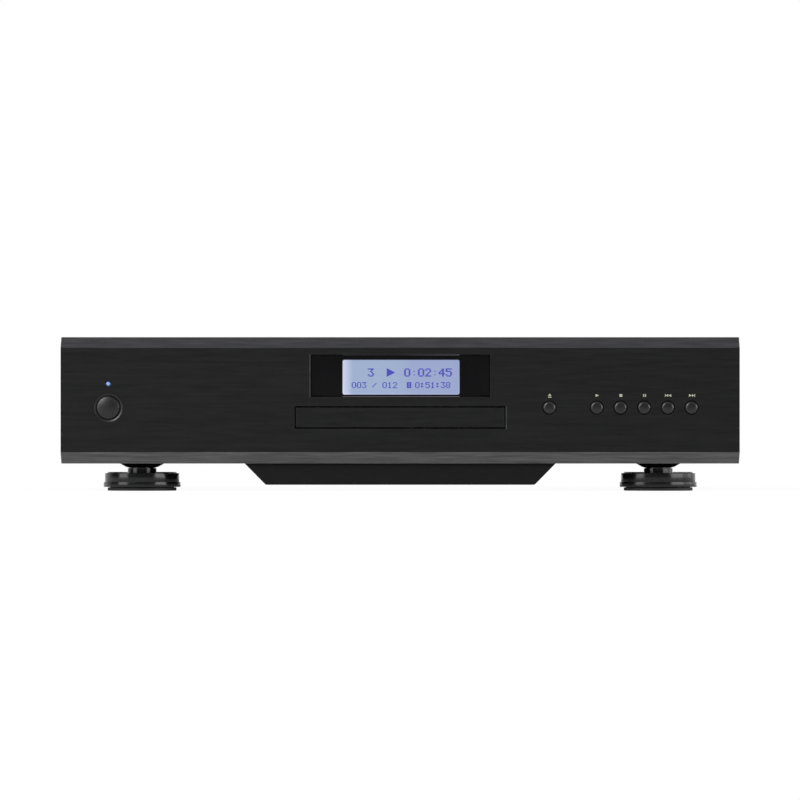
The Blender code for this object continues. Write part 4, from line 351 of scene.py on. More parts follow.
def softened(points, steps=FILLET_STEPS):
    """Outline or profile in which each (u, v, radius) corner becomes an arc."""
    result = []
    for index, point in enumerate(points):
        if len(point) == 2:
            result.append(point)
            continue
        corner = Vector(point[:2])
        radius = point[2]
        before = (Vector(points[index - 1][:2]) - corner).normalized()
        after = (Vector(points[(index + 1) % len(points)][:2]) - corner).normalized()
        half = before.angle(after) / 2
        start = corner + before * radius / math.tan(half)
        end = corner + after * radius / math.tan(half)
        centre = corner + (before + after).normalized() * radius / math.sin(half)
        first = math.atan2(start.y - centre.y, start.x - centre.x)
        sweep = math.remainder(math.atan2(end.y - centre.y, end.x - centre.x) - first, math.tau)
        for step in range(steps + 1):
            angle = first + sweep * step / steps
            result.append((centre.x + radius * math.cos(angle), centre.y + radius * math.sin(angle)))
    return result


def rectangle(u, v, width, height, corner=0.0, steps=FILLET_STEPS):
    """Outline of a rectangle about its middle, with round corners."""
    signs = ((-1, -1), (1, -1), (1, 1), (-1, 1))
    corners = [(u + a * width / 2, v + b * height / 2) for a, b in signs]
    if corner:
        corners = [(*point, corner) for point in corners]
    return softened(corners, steps)


def upright(shape, outline, front, back):
    """Outline in X and Z, pushed along Y from front to back."""
    skin(shape, [[Vector((u, depth, v)) for u, v in outline] for depth in (front, back)])


def framed(shape, stations):
    """Ring whose section runs through outlines in X and Z, each at its own depth."""
    skin(shape, [[Vector((u, depth, v)) for u, v in outline] for outline, depth in stations], loop=True)


def level(shape, outline, bottom, top):
    """Outline in X and Y, pushed up from bottom to top."""
    skin(shape, [[Vector((u, v, height)) for u, v in outline] for height in (bottom, top)])


def sideways(shape, outline, left, right):
    """Outline in Y and Z, pushed along X from left to right."""
    skin(shape, [[Vector((width, u, v)) for u, v in outline] for width in (left, right)])


def add(name, data):
    """New object in the scene."""
    piece = bpy.data.objects.new(name, data)
    bpy.context.scene.collection.objects.link(piece)
    return piece


def shaped(draw, *values, **options):
    """New shape that one of the functions above draws."""
    shape = bmesh.new()
    draw(shape, *values, **options)
    return shape


def solid(name, shape):
    """New object of a shape."""
    bmesh.ops.recalc_face_normals(shape, faces=shape.faces)
    mesh = bpy.data.meshes.new(name)
    shape.to_mesh(mesh)
    shape.free()
    return add(name, mesh)


def carve(piece, shape):
    """Takes a shape away from a piece."""
    tool = solid(piece.name + "_tool", shape)
    cut = piece.modifiers.new("Cut", "BOOLEAN")
    cut.object = tool
    cut.solver = "EXACT"
    whole = piece.data
    carved = piece.evaluated_get(bpy.context.evaluated_depsgraph_get())
    piece.data = bpy.data.meshes.new_from_object(carved)
    piece.modifiers.clear()
    bpy.data.meshes.remove(whole)
    bpy.data.objects.remove(tool)


def round_edges(piece, width, segments=2):
    """Small round on every edge that is sharper than the smooth ones."""
    bevel = piece.modifiers.new("Edges", "BEVEL")
    bevel.width = width
    bevel.segments = segments
    bevel.limit_method = "ANGLE"
    bevel.angle_limit = math.radians(SHARP_DEGREES)
    bevel.harden_normals = True


def shade(mesh):
    """Smooth shading, broken at the sharp edges."""
    shape = bmesh.new()
    shape.from_mesh(mesh)
    bmesh.ops.remove_doubles(shape, verts=shape.verts, dist=HAIR / 10)
    for face in shape.faces:
        face.smooth = True
    for edge in shape.edges:
        edge.smooth = edge.calc_face_angle(math.pi) < math.radians(SHARP_DEGREES)
    shape.to_mesh(mesh)
    shape.free()


def dress(piece, slot, body="root", replaced=(), finish=None):
    """Gives a piece its finish and its body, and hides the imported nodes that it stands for."""
    shade(piece.data)
    piece.data.materials.clear()
    piece.data.materials.append(FINISHES[finish or slot])
    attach(piece, body)
    if replaced:
        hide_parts(*replaced)


# Materials


def wire(tree, kind, inputs, output=0, **settings):
    """Output of a new shader node, with its settings made and its sockets set or linked."""
    node = tree.nodes.new("ShaderNode" + kind)
    for name, value in settings.items():
        setattr(node, name, value)
    for socket, value in inputs.items():
        if isinstance(value, bpy.types.NodeSocket):
            tree.links.new(value, node.inputs[socket])
        else:
            node.inputs[socket].default_value = value
    return node.outputs[output]


def remap(tree, value, start, end, low=0.0, high=1.0, **settings):
    """Value taken from the range of start to end to that of low to high, and held at its ends."""
    inputs = {"Value": value, "From Min": start, "From Max": end, "To Min": low, "To Max": high}
    return wire(tree, "MapRange", inputs, **settings)


def even_steps(count, low=0.0, high=1.0):
    return [low + (high - low) * index / (count - 1) for index in range(count)]


FINISHES = {}


class Finish:
    """Principled material, kept by its name, with the few moves that the finishes here are made of."""

    def __init__(self, name, colour, roughness, **sockets):
        FINISHES[name] = self.material = bpy.data.materials.new(name)
        self.material.use_nodes = True
        self.tree = self.material.node_tree
        self.shader = self.tree.nodes["Principled BSDF"]
        self.shader.inputs["Base Color"].default_value = (*colour, 1)
        self.shader.inputs["Roughness"].default_value = roughness
        for socket, value in sockets.items():
            self.shader.inputs[socket.replace("_", " ")].default_value = value
        self.slope = None

    def feed(self, socket, output):
        self.tree.links.new(output, self.shader.inputs[socket])

    def place(self):
        """Place on the player, in metres."""
        return wire(self.tree, "TexCoord", {}, "Object")

    def offset(self, point):
        """Way from a point to the place on the player."""
        return wire(self.tree, "VectorMath", {0: self.place(), 1: point}, operation="SUBTRACT")

    def noise(self, scale, detail=2.0):
        """Noise with its own number of cells per metre along each axis."""
        place = wire(self.tree, "Mapping", {"Vector": self.place(), "Scale": scale})
        return wire(self.tree, "TexNoise", {"Vector": place, "Scale": 1.0, "Detail": detail}, "Fac")

    def along(self, axis, start, end, low=0.0, high=1.0):
        """Value that runs from low to high on the way from start to end along an axis."""
        value = wire(self.tree, "SeparateXYZ", {"Vector": self.place()}, axis)
        return remap(self.tree, value, start, end, low, high)

    def spread(self, factor, low, high):
        """Value that runs from low to high over the usual range of a noise."""
        return remap(self.tree, factor, *NOISE_RANGE, low, high)

    def ramp(self, factor, colours, starts=None, fade="LINEAR"):
        """Colours from their own starts on, or else spread evenly over the usual range of a noise."""
        output = wire(self.tree, "ValToRGB", {"Fac": factor}, "Color")
        ramp = output.node.color_ramp
        ramp.interpolation = fade
        while len(ramp.elements) < len(colours):
            ramp.elements.new(0.5)
        starts = starts or even_steps(len(colours), *NOISE_RANGE)
        for stop, start, colour in zip(ramp.elements, starts, colours):
            stop.position = start
            stop.color = (*colour, 1)
        return output

    def tint(self, factor, *colours):
        self.feed("Base Color", self.ramp(factor, colours))

    def shade_about(self, factor, colour, darkest, palest):
        """Base colour that varies about its own value."""
        self.tint(factor, *[tuple(value * share for value in colour) for share in (darkest, palest)])

    def vary_roughness(self, factor, low, high):
        self.feed("Roughness", self.spread(factor, low, high))

    def grade(self, colour, share):
        """Base colour that is a colour times a share."""
        inputs = {0: colour, "Scale": share}
        self.feed("Base Color", wire(self.tree, "VectorMath", inputs, operation="SCALE"))

    def relief(self, factor, height):
        """Bump of some height in metres, over any bump already there."""
        inputs = {"Distance": height, "Height": factor}
        if self.slope:
            inputs["Normal"] = self.slope
        self.slope = wire(self.tree, "Bump", inputs)
        self.feed("Normal", self.slope)


def anodised_black():
    """Brushed aluminium, anodised black, with paler bevels at its top and bottom: a painted reflection of
    the floor and the sky.
    """
    black = (0.0047, 0.0052, 0.0048)
    # Painted reflection: the bevels are paler than the face to stand in for the floor below and the sky
    # above that they mirror
    lower_bevel_painted_reflection = (0.066, 0.065, 0.066)
    upper_bevel_painted_reflection = (0.022, 0.022, 0.0245)
    finish = Finish("anodised_black", black, roughness=0.36, Specular_IOR_Level=0.15)
    height = finish.along("Z", fascia_low.z, fascia_high.z)
    share = FASCIA_BEVEL / (fascia_high.z - fascia_low.z)
    colour = finish.ramp(height, (lower_bevel_painted_reflection, black, upper_bevel_painted_reflection), (0, share, 1 - share), "CONSTANT")
    strokes = finish.noise((45, 700, 700), detail=2)
    hairs = finish.noise((14, 3500, 3500), detail=3)
    finish.grade(colour, finish.spread(strokes, low=0.7, high=1.3))
    finish.vary_roughness(hairs, low=0.32, high=0.40)
    finish.relief(strokes, height=0.00004)
    finish.relief(hairs, height=0.000003)


def powder_coat(name, black, gloss):
    """Satin black powder paint with its fine grain."""
    finish = Finish(name, black, roughness=0.55, Specular_IOR_Level=gloss)
    grain = finish.noise((1800, 1800, 1800), detail=3)
    finish.shade_about(grain, black, darkest=0.85, palest=1.2)
    finish.vary_roughness(grain, low=0.54, high=0.62)
    finish.relief(grain, height=0.00003)


def polished(name, colour, rough, smear, gloss=0.5):
    """Glossy plastic or lacquer with faint smears in its gloss."""
    finish = Finish(name, colour, rough, Specular_IOR_Level=gloss)
    finish.shade_about(finish.noise((90, 90, 90)), colour, darkest=0.92, palest=1.08)
    finish.vary_roughness(finish.noise((25, 25, 25), detail=4), rough, rough + smear)


def moulded(name, colour, rough, grain_height, gloss=0.5):
    """Moulded plastic or rubber with a fine grain."""
    finish = Finish(name, colour, rough, Specular_IOR_Level=gloss)
    grain = finish.noise((2200, 2200, 2200), detail=2)
    finish.shade_about(finish.noise((120, 120, 120), detail=3), colour, darkest=0.9, palest=1.1)
    finish.vary_roughness(grain, low=rough - 0.06, high=rough + 0.06)
    finish.relief(grain, grain_height)


def metal(name, colour, rough, cells):
    """Bare or plated metal, with marks drawn out along its least stretched axis."""
    finish = Finish(name, colour, rough, Metallic=1.0)
    marks = finish.noise(cells, detail=3)
    finish.shade_about(marks, colour, darkest=0.85, palest=1.05)
    finish.vary_roughness(marks, low=rough - 0.08, high=rough + 0.1)
    finish.relief(marks, height=0.000003)


def across_screen(finish):
    """Value that runs from 0 to 1 over the width of the screen."""
    return finish.along("X", SCREEN_LEFT, SCREEN_LEFT + SCREEN_WIDTH)


def screen_glow(finish):
    """Colour of the lit screen, paler by its left edge."""
    pale = (0.54, 0.58, 0.76)
    blue = (0.295, 0.368, 0.544)
    lilac = (0.276, 0.326, 0.53)
    starts = (0, 0.10, 0.4, 0.65, 1)
    return finish.ramp(across_screen(finish), (pale, blue, blue, lilac, lilac), starts, "EASE")


def display_blue():
    """Screen that is lit on its front alone, paler by its left edge, with the faint weave of its cells."""
    finish = Finish("display_blue", (0.02, 0.025, 0.035), roughness=0.3, Emission_Strength=1.0)
    finish.feed("Emission Strength", finish.along("Y", SCREEN_Y + LIT_DEPTH, SCREEN_Y))
    finish.feed("Emission Color", screen_glow(finish))
    cells = finish.noise((3000, 3000, 3000), detail=1)
    finish.vary_roughness(cells, low=0.25, high=0.35)
    finish.relief(cells, height=0.000002)


def pilot_blue():
    """Light pipe that glows in its middle and is dark towards its rim."""
    middle_glow = (0.20, 0.39, 0.66)
    halo = (0.09, 0.20, 0.46)
    rim = (0.003, 0.008, 0.035)
    finish = Finish("pilot_blue", (0.01, 0.03, 0.09), roughness=0.25, Emission_Strength=1.0)
    offset = finish.offset(on_front("power_led"))
    reach = wire(finish.tree, "VectorMath", {0: offset}, "Value", operation="LENGTH")
    fade = remap(finish.tree, reach, LED_GLOW_RADIUS, LED_DARK_RADIUS)
    finish.feed("Emission Color", finish.ramp(fade, (middle_glow, halo, rim), (0, 0.5, 1)))


def lit_ink():
    """Lit dots of the screen's characters."""
    ink = (0.026, 0.028, 0.34)
    paler_ink = (0.034, 0.036, 0.40)
    finish = Finish("lit_ink", (0.01, 0.012, 0.05), roughness=0.4, Emission_Strength=1.0)
    finish.feed("Emission Color", finish.ramp(finish.noise((500, 500, 500)), (ink, paler_ink)))


def painted_screen_glint(name, *colours):
    """Painted reflection of the lit screen in a polished edge of the window: a glowing strip, coloured from
    the screen's left to its right.
    """
    finish = Finish(name, (0.02, 0.02, 0.022), roughness=0.15, Emission_Strength=1.0)
    finish.feed("Emission Color", finish.ramp(across_screen(finish), colours, even_steps(len(colours))))
    finish.vary_roughness(finish.noise((90, 90, 90)), low=0.12, high=0.2)


def screen_border():
    """Edge of the screen's light guide, brightest at its foot."""
    finish = Finish("screen_border", (0.03, 0.03, 0.04), roughness=0.3, Emission_Strength=1.0)
    foot = SCREEN_Z - SCREEN_HEIGHT / 2
    finish.feed("Emission Color", screen_glow(finish))
    finish.feed("Emission Strength", finish.along("Z", foot, foot + SCREEN_HEIGHT, low=1.18, high=0.98))
    finish.vary_roughness(finish.noise((900, 900, 900)), low=0.25, high=0.35)


def circuit_board(name, axis, edges, colours):
    """Green solder mask over copper tracks, and other colours for what stands on either side."""
    finish = Finish(name, BOARD_GREEN, roughness=0.35)
    first, last = edges[0], edges[-1]
    starts = [(edge - first) / (last - first) for edge in edges[:-1]]
    tracks = finish.noise((500, 8, 8), detail=0)
    layers = finish.ramp(finish.along(axis, first, last), colours, starts, "CONSTANT")
    finish.grade(layers, finish.spread(tracks, low=0.8, high=1.4))
    finish.relief(tracks, height=0.00003)


def lying_board():
    """Board that lies on stand-offs, with its components on top."""
    low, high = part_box("main_board")
    board = low.z + STANDOFF
    edges = (low.z, board, board + BOARD + HAIR, high.z)
    circuit_board("circuit_board", "Z", edges, (NYLON, BOARD_GREEN, COMPONENT_BLACK))


def key_board():
    """Board that stands behind the keys, with their switches on its front."""
    low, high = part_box("front_board")
    edges = (low.y, high.y - BOARD - HAIR, high.y)
    circuit_board("key_board", "Y", edges, (COMPONENT_BLACK, BOARD_GREEN))


def winding():
    """Turns of enamelled wire under clear tape, laid round the transformer's ring."""
    finish = Finish("winding", (0.35, 0.20, 0.04), roughness=0.3, Coat_Weight=0.4)
    inputs = {"Vector": finish.offset(middle("transformer"))}
    turn = wire(finish.tree, "TexGradient", inputs, "Fac", gradient_type="RADIAL")
    ripple = wire(finish.tree, "Math", {0: turn, 1: 1 / WINDING_WAVES}, operation="PINGPONG")
    wave = wire(finish.tree, "Math", {0: ripple, 1: WINDING_WAVES}, operation="MULTIPLY")
    finish.tint(wave, (0.22, 0.11, 0.02), (0.42, 0.25, 0.05))
    finish.relief(wave, height=0.0003)


# Colour and gloss of each powder paint
COATINGS = {
    "powder_coat": ((0.006, 0.006, 0.0058), 0.2),
    # Painted shade: a darker copy of the powder paint for the chin pan, which sits in the shade under the
    # fascia
    "pan_coat": ((0.0028, 0.0028, 0.0027), 0.12),
}
# Colour, roughness, what its smears add to that, and gloss
LACQUERS = {
    "window_black": ((0.0022, 0.0020, 0.0024), 0.09, 0.05, 0.22),
    "foot_black": ((0.0035, 0.0045, 0.0035), 0.16, 0.04, 0.3),
    "button_gloss": ((0.0035, 0.004, 0.0035), 0.33, 0.04, 0.34),
    "capacitor_sleeve": ((0.012, 0.02, 0.05), 0.3, 0.1),
    "lens_glass": ((0.05, 0.07, 0.16), 0.05, 0.03),
}
# Colour, roughness, height of its grain, and gloss
PLASTICS = {
    "key_black": ((0.0022, 0.0022, 0.0022), 0.31, 0.000002, 0.42),
    "pad_rubber": ((0.010, 0.010, 0.010), 0.72, 0.00001),
    "socket_black": ((0.012, 0.012, 0.013), 0.42, 0.00001),
    "grey_plastic": ((0.22, 0.22, 0.215), 0.5, 0.00001),
    "loader_black": ((0.014, 0.014, 0.015), 0.5, 0.00001),
    "gear_white": ((0.72, 0.72, 0.68), 0.42, 0.000004),
    "print_khaki": ((0.27, 0.275, 0.205), 0.6, 0.000002),
    "insulator_white": ((0.70, 0.70, 0.67), 0.4, 0.000004),
    "insulator_red": ((0.42, 0.012, 0.012), 0.4, 0.000004),
    "insulator_amber": ((0.62, 0.20, 0.012), 0.4, 0.000004),
}
# Colour, roughness, and cells of its marks per metre along each axis
METALS = {
    # Painted highlight: pale metal strips standing in for light caught by the edges of the fascia's openings
    "cut_edge": ((0.085, 0.085, 0.087), 0.4, (14, 900, 900)),
    "gilt_brass": ((0.95, 0.66, 0.26), 0.22, (300, 300, 300)),
    "zinc_steel": ((0.60, 0.61, 0.60), 0.4, (120, 120, 120)),
    "polished_steel": ((0.72, 0.72, 0.73), 0.18, (2000, 80, 2000)),
    "bare_aluminium": ((0.78, 0.79, 0.80), 0.38, (1200, 40, 1200)),
    "screw_black": ((0.05, 0.05, 0.052), 0.38, (400, 400, 400)),
}
# Colours of the painted reflections of the lit screen on each edge of the window
PAINTED_GLINTS = {
    "lower_glint": ((0.16, 0.15, 0.18), (0.20, 0.19, 0.22)),
    "upper_glint": (*[(0.03, 0.03, 0.038)] * 3, (0.12, 0.12, 0.14), (0.19, 0.19, 0.21)),
}
for make in (anodised_black, display_blue, pilot_blue, lit_ink, screen_border, lying_board, key_board,
             winding):
    make()
TABLES = {powder_coat: COATINGS, polished: LACQUERS, moulded: PLASTICS, metal: METALS, painted_screen_glint: PAINTED_GLINTS}
for make, table in TABLES.items():
    for name, values in table.items():
        make(name, *values)


def dress_packed_nodes():
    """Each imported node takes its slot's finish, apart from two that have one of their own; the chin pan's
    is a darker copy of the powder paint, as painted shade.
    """
    for entry in frame["record"]["subparts"]:
        node = frame["nodes"][entry["node"]]
        node.data.materials.clear()
        node.data.materials.append(FINISHES[entry["material_slot"]])
    for node, finish in (("chin_pan", "pan_coat"), ("front_board", "key_board")):
        frame["nodes"][node].data.materials[0] = FINISHES[finish]


def soften_node(node, width):
    """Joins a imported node's split corners and rounds its edges."""
    piece = frame["nodes"][node]
    weld = piece.modifiers.new("Weld", "WELD")
    weld.merge_threshold = HAIR / 2
    round_edges(piece, width)


# Front


def make_fascia():
    """Thick front plate with broad bevels and crisp openings."""
    low, high = fascia_low.z, fascia_high.z
    bevel_y = FRONT_Y + FASCIA_BEVEL
    outline = [(FASCIA_BACK, low), (bevel_y, low), (FRONT_Y, low + FASCIA_BEVEL)]
    outline += [(FRONT_Y, high - FASCIA_BEVEL), (bevel_y, high), (FASCIA_BACK, high)]
    fascia = solid("fascia_plate", shaped(sideways, outline, fascia_low.x, fascia_high.x))
    width = fascia_high.x - fascia_low.x - 2 * FASCIA_RIM
    pocket = rectangle(0, (low + high) / 2, width, high - low - 2 * FASCIA_RIM)
    carve(fascia, shaped(upright, pocket, WALL_BACK, FASCIA_BACK + OVERRUN))
    openings = bmesh.new()
    before, behind = FRONT_Y - OVERRUN, WALL_BACK + OVERRUN
    upright(openings, rectangle(0, WINDOW_Z, WINDOW_WIDTH, WINDOW_HEIGHT), before, behind)
    upright(openings, rectangle(0, SLOT_Z, SLOT_WIDTH, SLOT_HEIGHT), before, behind)
    for name in KEY_NAMES:
        turned(openings, hole(KEY_RADIUS + FIT), on_front(name + "_button"), FRONT)
    turned(openings, hole(LED_RADIUS + FIT), on_front("power_led"), FRONT, SMALL_SIDES)
    bore = POWER_RADIUS + FIT
    seat = bore + POWER_RING + HAIR
    ledge = -POWER_RING_DEPTH - HAIR
    countersink = [(0, OVERRUN), (seat, OVERRUN), (seat, ledge), (bore, ledge)]
    countersink += hole(bore)[2:]
    turned(openings, countersink, on_front("power_button"), FRONT, BROAD_SIDES)
    carve(fascia, openings)
    round_edges(fascia, FASCIA_EDGE)
    dress(fascia, "anodised_black", replaced=["fascia"])


def hole(radius):
    """Profile of a plain hole through the fascia's wall."""
    return [(0, OVERRUN), (radius, OVERRUN), (radius, -FASCIA_WALL - OVERRUN), (0, -FASCIA_WALL - OVERRUN)]


def make_power_ring():
    """Glossy countersunk ring round the power button."""
    bore = POWER_RADIUS + FIT
    rim = bore + POWER_RING
    profile = [(rim, 0), (rim, -POWER_RING_DEPTH), (bore, -POWER_RING_DEPTH), (bore, -POWER_RING_SINK)]
    ring = shaped(turned, profile, on_front("power_button"), FRONT, BROAD_SIDES, loop=True)
    dress(solid("power_ring", ring), "anodised_black", finish="button_gloss")


def make_window():
    """Glossy plate let into the fascia, with the screen's opening round at its corners."""
    lip_front = WALL_BACK + FIT
    lip_back = lip_front + LIP_THICKNESS
    low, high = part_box("display_bezel")
    plate = rectangle(0, WINDOW_Z, WINDOW_WIDTH - 2 * FIT, WINDOW_HEIGHT - 2 * FIT, PLATE_EDGE)
    lip = rectangle(0, WINDOW_Z, high.x - low.x, high.z - low.z, PLATE_EDGE)
    opening = rectangle(SCREEN_X, SCREEN_Z, SCREEN_WIDTH, SCREEN_HEIGHT, SCREEN_CORNER)
    stations = [(opening, PLATE_Y), (plate, PLATE_Y), (plate, lip_front), (lip, lip_front)]
    stations += [(lip, lip_back), (opening, lip_back)]
    window = solid("window_plate", shaped(framed, stations))
    round_edges(window, PLATE_EDGE)
    dress(window, "window_black", replaced=["display_bezel"])


def write_dots(shape, line, inset, glyphs):
    """Glyphs from left to right, each row of one as runs of dots."""
    rise, width, height, bold = line
    left = SCREEN_LEFT + inset
    for glyph in glyphs:
        rows = GLYPHS[glyph].split()
        swell = 0.0 if glyph == "dots" else bold
        for row, bits in enumerate(rows):
            z = fascia_low.z + rise + (GLYPH_ROWS - row - 0.5) * height
            for run in re.finditer("1+", bits):
                x = left + (run.start() + run.end()) / 2 * width
                length = (run.end() - run.start() - 1 + DOT_SHARE + swell) * width
                upright(shape, rectangle(x, z, length, height * DOT_SHARE), *INK_DEPTHS)
        left += (len(rows[0]) + 1) * width


def make_characters():
    """Two lines of plain numbers and signs on the screen."""
    shape = bmesh.new()
    for text in TEXTS:
        write_dots(shape, *text)
    z = fascia_low.z + UPPER_LINE[0] + GLYPH_ROWS * UPPER_LINE[2] / 2
    tail = SCREEN_LEFT + ARROW_INSET
    half = ARROW_HEIGHT / 2
    play_sign = [(tail, z - half), (tail + ARROW_WIDTH, z), (tail, z + half)]
    upright(shape, play_sign, *INK_DEPTHS)
    dress(solid("screen_characters", shape), "display_blue", finish="lit_ink")


def make_painted_screen_glints():
    """Painted reflections of the lit screen: glowing hairlines on the window's lower and upper edges."""
    edge = (WINDOW_HEIGHT - FIT) / 2
    for name, z in (("lower_glint", WINDOW_Z - edge), ("upper_glint", WINDOW_Z + edge)):
        line = rectangle(SCREEN_X, z, SCREEN_WIDTH, GLINT_HEIGHT)
        glint = shaped(upright, line, PLATE_Y - GLINT_DEPTH, PLATE_Y + HAIR)
        dress(solid(name, glint), "window_black", finish=name)


def make_painted_edge_highlights():
    """Strips of painted highlight, paler than the fascia, on the left edge of the window's opening and on
    the right edge of the tray's, where those edges catch light.
    """
    window = -(WINDOW_WIDTH + EDGE_HIGHLIGHT_WIDTH) / 2, WINDOW_Z, WINDOW_HEIGHT
    slot = (SLOT_WIDTH + EDGE_HIGHLIGHT_WIDTH) / 2, SLOT_Z, SLOT_HEIGHT
    for name, (x, z, height) in (("window_edge", window), ("slot_edge_highlight", slot)):
        line = rectangle(x, z, EDGE_HIGHLIGHT_WIDTH, height + EDGE_HIGHLIGHT_WIDTH)
        edge = shaped(upright, line, FRONT_Y - HAIR, FRONT_Y + EDGE_HIGHLIGHT_WIDTH)
        dress(solid(name, edge), "anodised_black", finish="cut_edge")


def make_screen_border():
    """Thin pale frame round the screen, inside the window's opening."""
    back = SCREEN_Y - HAIR
    front = back - SCREEN_BORDER_DEPTH
    outlines = []
    for inset in (0, SCREEN_BORDER):
        width, height = SCREEN_WIDTH - 2 * (HAIR + inset), SCREEN_HEIGHT - 2 * (HAIR + inset)
        outlines.append(rectangle(SCREEN_X, SCREEN_Z, width, height, SCREEN_CORNER - inset))
    outer, inner = outlines
    border = shaped(framed, ((outer, front), (outer, back), (inner, back), (inner, front)))
    dress(solid("screen_frame", border), "display_blue", finish="screen_border")


def make_tray_flap():
    """Flap on the front of the tray, softly rounded at its edges, with a thin dust seal on its back."""
    low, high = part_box("tray_front")
    centre = (low + high) / 2
    outline = rectangle(centre.x, centre.z, high.x - low.x, high.z - low.z)
    flap = solid("tray_flap", shaped(upright, outline, low.y, high.y))
    round_edges(flap, FLAP_EDGE, FLAP_EDGE_STEPS)
    dress(flap, "anodised_black", "tray", ["tray_front"])
    outline = rectangle(0, SLOT_Z, SLOT_WIDTH - 2 * SEAL_GAP, SLOT_HEIGHT - 2 * SEAL_GAP)
    seal = shaped(upright, outline, high.y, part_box("disc_tray")[0].y)
    dress(solid("flap_seal", seal), "pad_rubber", "tray")


def dome(radius, height, sag, fall):
    """Profile of a shallow dome from its middle out to its rim, where it falls off further."""
    points = []
    for step in range(DOME_STEPS + 1):
        share = math.sin(math.pi / 2 * step / DOME_STEPS)
        points.append((radius * share, height - sag * share ** 2 - fall * share ** DOME_ROUND_POWER))
    return points


def make_keys():
    """Six small domed keys."""
    for name in KEY_NAMES:
        node = name + "_button"
        key = shaped(turned, dome(*KEY_DOME) + KEY_STEM, on_front(node), FRONT)
        dress(solid(name + "_key", key), "key_black", node, [node])


def make_power_button():
    """Large push button with a domed face."""
    node = "power_button"
    knob = shaped(turned, dome(*POWER_DOME) + POWER_STEM, on_front(node), FRONT, BROAD_SIDES)
    dress(solid("power_knob", knob), "anodised_black", node, [node], "button_gloss")


def make_pilot_light():
    """Domed end of the pilot's light pipe, with its flange behind the wall."""
    node = "power_led"
    lens = shaped(turned, dome(*LED_DOME) + LED_STEM, on_front(node), FRONT, SMALL_SIDES)
    dress(solid("pilot_lens", lens), "pilot_blue", replaced=[node])


def arrow(tail, tip):
    """Triangle that points along X, in units of half a pictogram's height."""
    return [(tail, -1), (tip, 0), (tail, 1)]


def bar(left, right, bottom=-1, top=1):
    return [(left, bottom), (right, bottom), (right, top), (left, top)]


PICTOGRAMS = {
    "eject": [[(-1.25, -0.25), (1.25, -0.25), (0, 1.5)], bar(-1.35, 1.35, -1.55, -0.95)],
    "play": [arrow(-1.2, 1.4)],
    "stop": [bar(-1.05, 1.05)],
    "pause": [bar(-1.1, -0.3), bar(0.3, 1.1)],
    "previous": [bar(-2.35, -1.85), arrow(0.05, -1.8), arrow(2.25, 0.15)],
    "next": [arrow(-2.25, -0.15), arrow(-0.05, 1.8), bar(1.85, 2.35)],
}


def make_pictograms():
    """Usual signs of the transport keys, printed on the fascia over each of them."""
    z = fascia_low.z + PRINT_RISE
    half = PRINT_HEIGHT / 2
    for name, outlines in PICTOGRAMS.items():
        x = middle(name + "_button").x + PRINT_SHIFT
        shape = bmesh.new()
        for outline in outlines:
            placed = [(x + u * half, z + v * half) for u, v in outline]
            upright(shape, placed, FRONT_Y - PRINT_DEPTH, FRONT_Y - PRINT_GAP)
        dress(solid(name + "_print", shape), "anodised_black", finish="print_khaki")


# Feet


def make_feet():
    """Turned feet with a bowl on their neck, a groove and a rim, each on its pad."""
    for name in ("front_left", "front_right", "rear_left", "rear_right"):
        place_turned("turned_foot_" + name, "foot_" + name, FOOT_PROFILE, "foot_black")
        pad = "foot_pad_" + name
        low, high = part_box(pad)
        radius, height = (high.x - low.x) / 2, high.z - low.z
        profile = [(0, 0), (radius, 0, PAD_SOFT), (radius, height, PAD_SOFT), (0, height)]
        place_turned("rubber_" + pad, pad, profile, "pad_rubber")


def place_turned(name, node, profile, slot):
    """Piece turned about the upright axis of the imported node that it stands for."""
    centre = middle(node)
    origin = (centre.x, centre.y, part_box(node)[0].z)
    dress(solid(name, shaped(turned, softened(profile), origin, UP, BROAD_SIDES)), slot, replaced=[node])


# Disc tray


def make_disc_tray():
    """Tray with round wells for both disc sizes, the slot for the turntable, its rack and its tongues."""
    low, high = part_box("disc_tray")
    centre = middle("turntable")
    under = high.z - TRAY_HEIGHT
    rear = low.y + TRAY_LENGTH
    outline = rectangle(0, (low.y + rear) / 2, TRAY_WIDTH, TRAY_LENGTH)
    tray = solid("loading_tray", shaped(level, outline, under, high.z))
    carve(tray, shaped(turned, TRAY_WELLS, (centre.x, centre.y, high.z), UP, BROAD_SIDES))
    half = TRAY_SLOT_HALF
    slot = [(half, rear + OVERRUN), (-half, rear + OVERRUN)]
    for step in range(SMALL_SIDES + 1):
        angle = math.pi + math.pi * step / SMALL_SIDES
        slot.append((centre.x + half * math.cos(angle), centre.y + half * math.sin(angle)))
    carve(tray, shaped(level, slot, under - OVERRUN, high.z + 2 * OVERRUN))
    round_edges(tray, TRAY_EDGE)
    dress(tray, "loader_black", "tray", ["disc_tray"])
    rack = shaped(level, rack_outline(GEAR_Y - RACK_START_AHEAD, rear - FIT), low.z, under)
    dress(solid("tray_rack", rack), "loader_black", "tray")
    tongues = bmesh.new()
    base = under + TONGUE_RISE
    for side in (-1, 1):
        x = side * (TRAY_WIDTH + TONGUE_REACH) / 2
        outline = rectangle(x, rear - TONGUE_LENGTH / 2, TONGUE_REACH, TONGUE_LENGTH)
        level(tongues, outline, base, base + TONGUE_HEIGHT)
    dress(solid("tray_tongues", tongues), "loader_black", "tray")


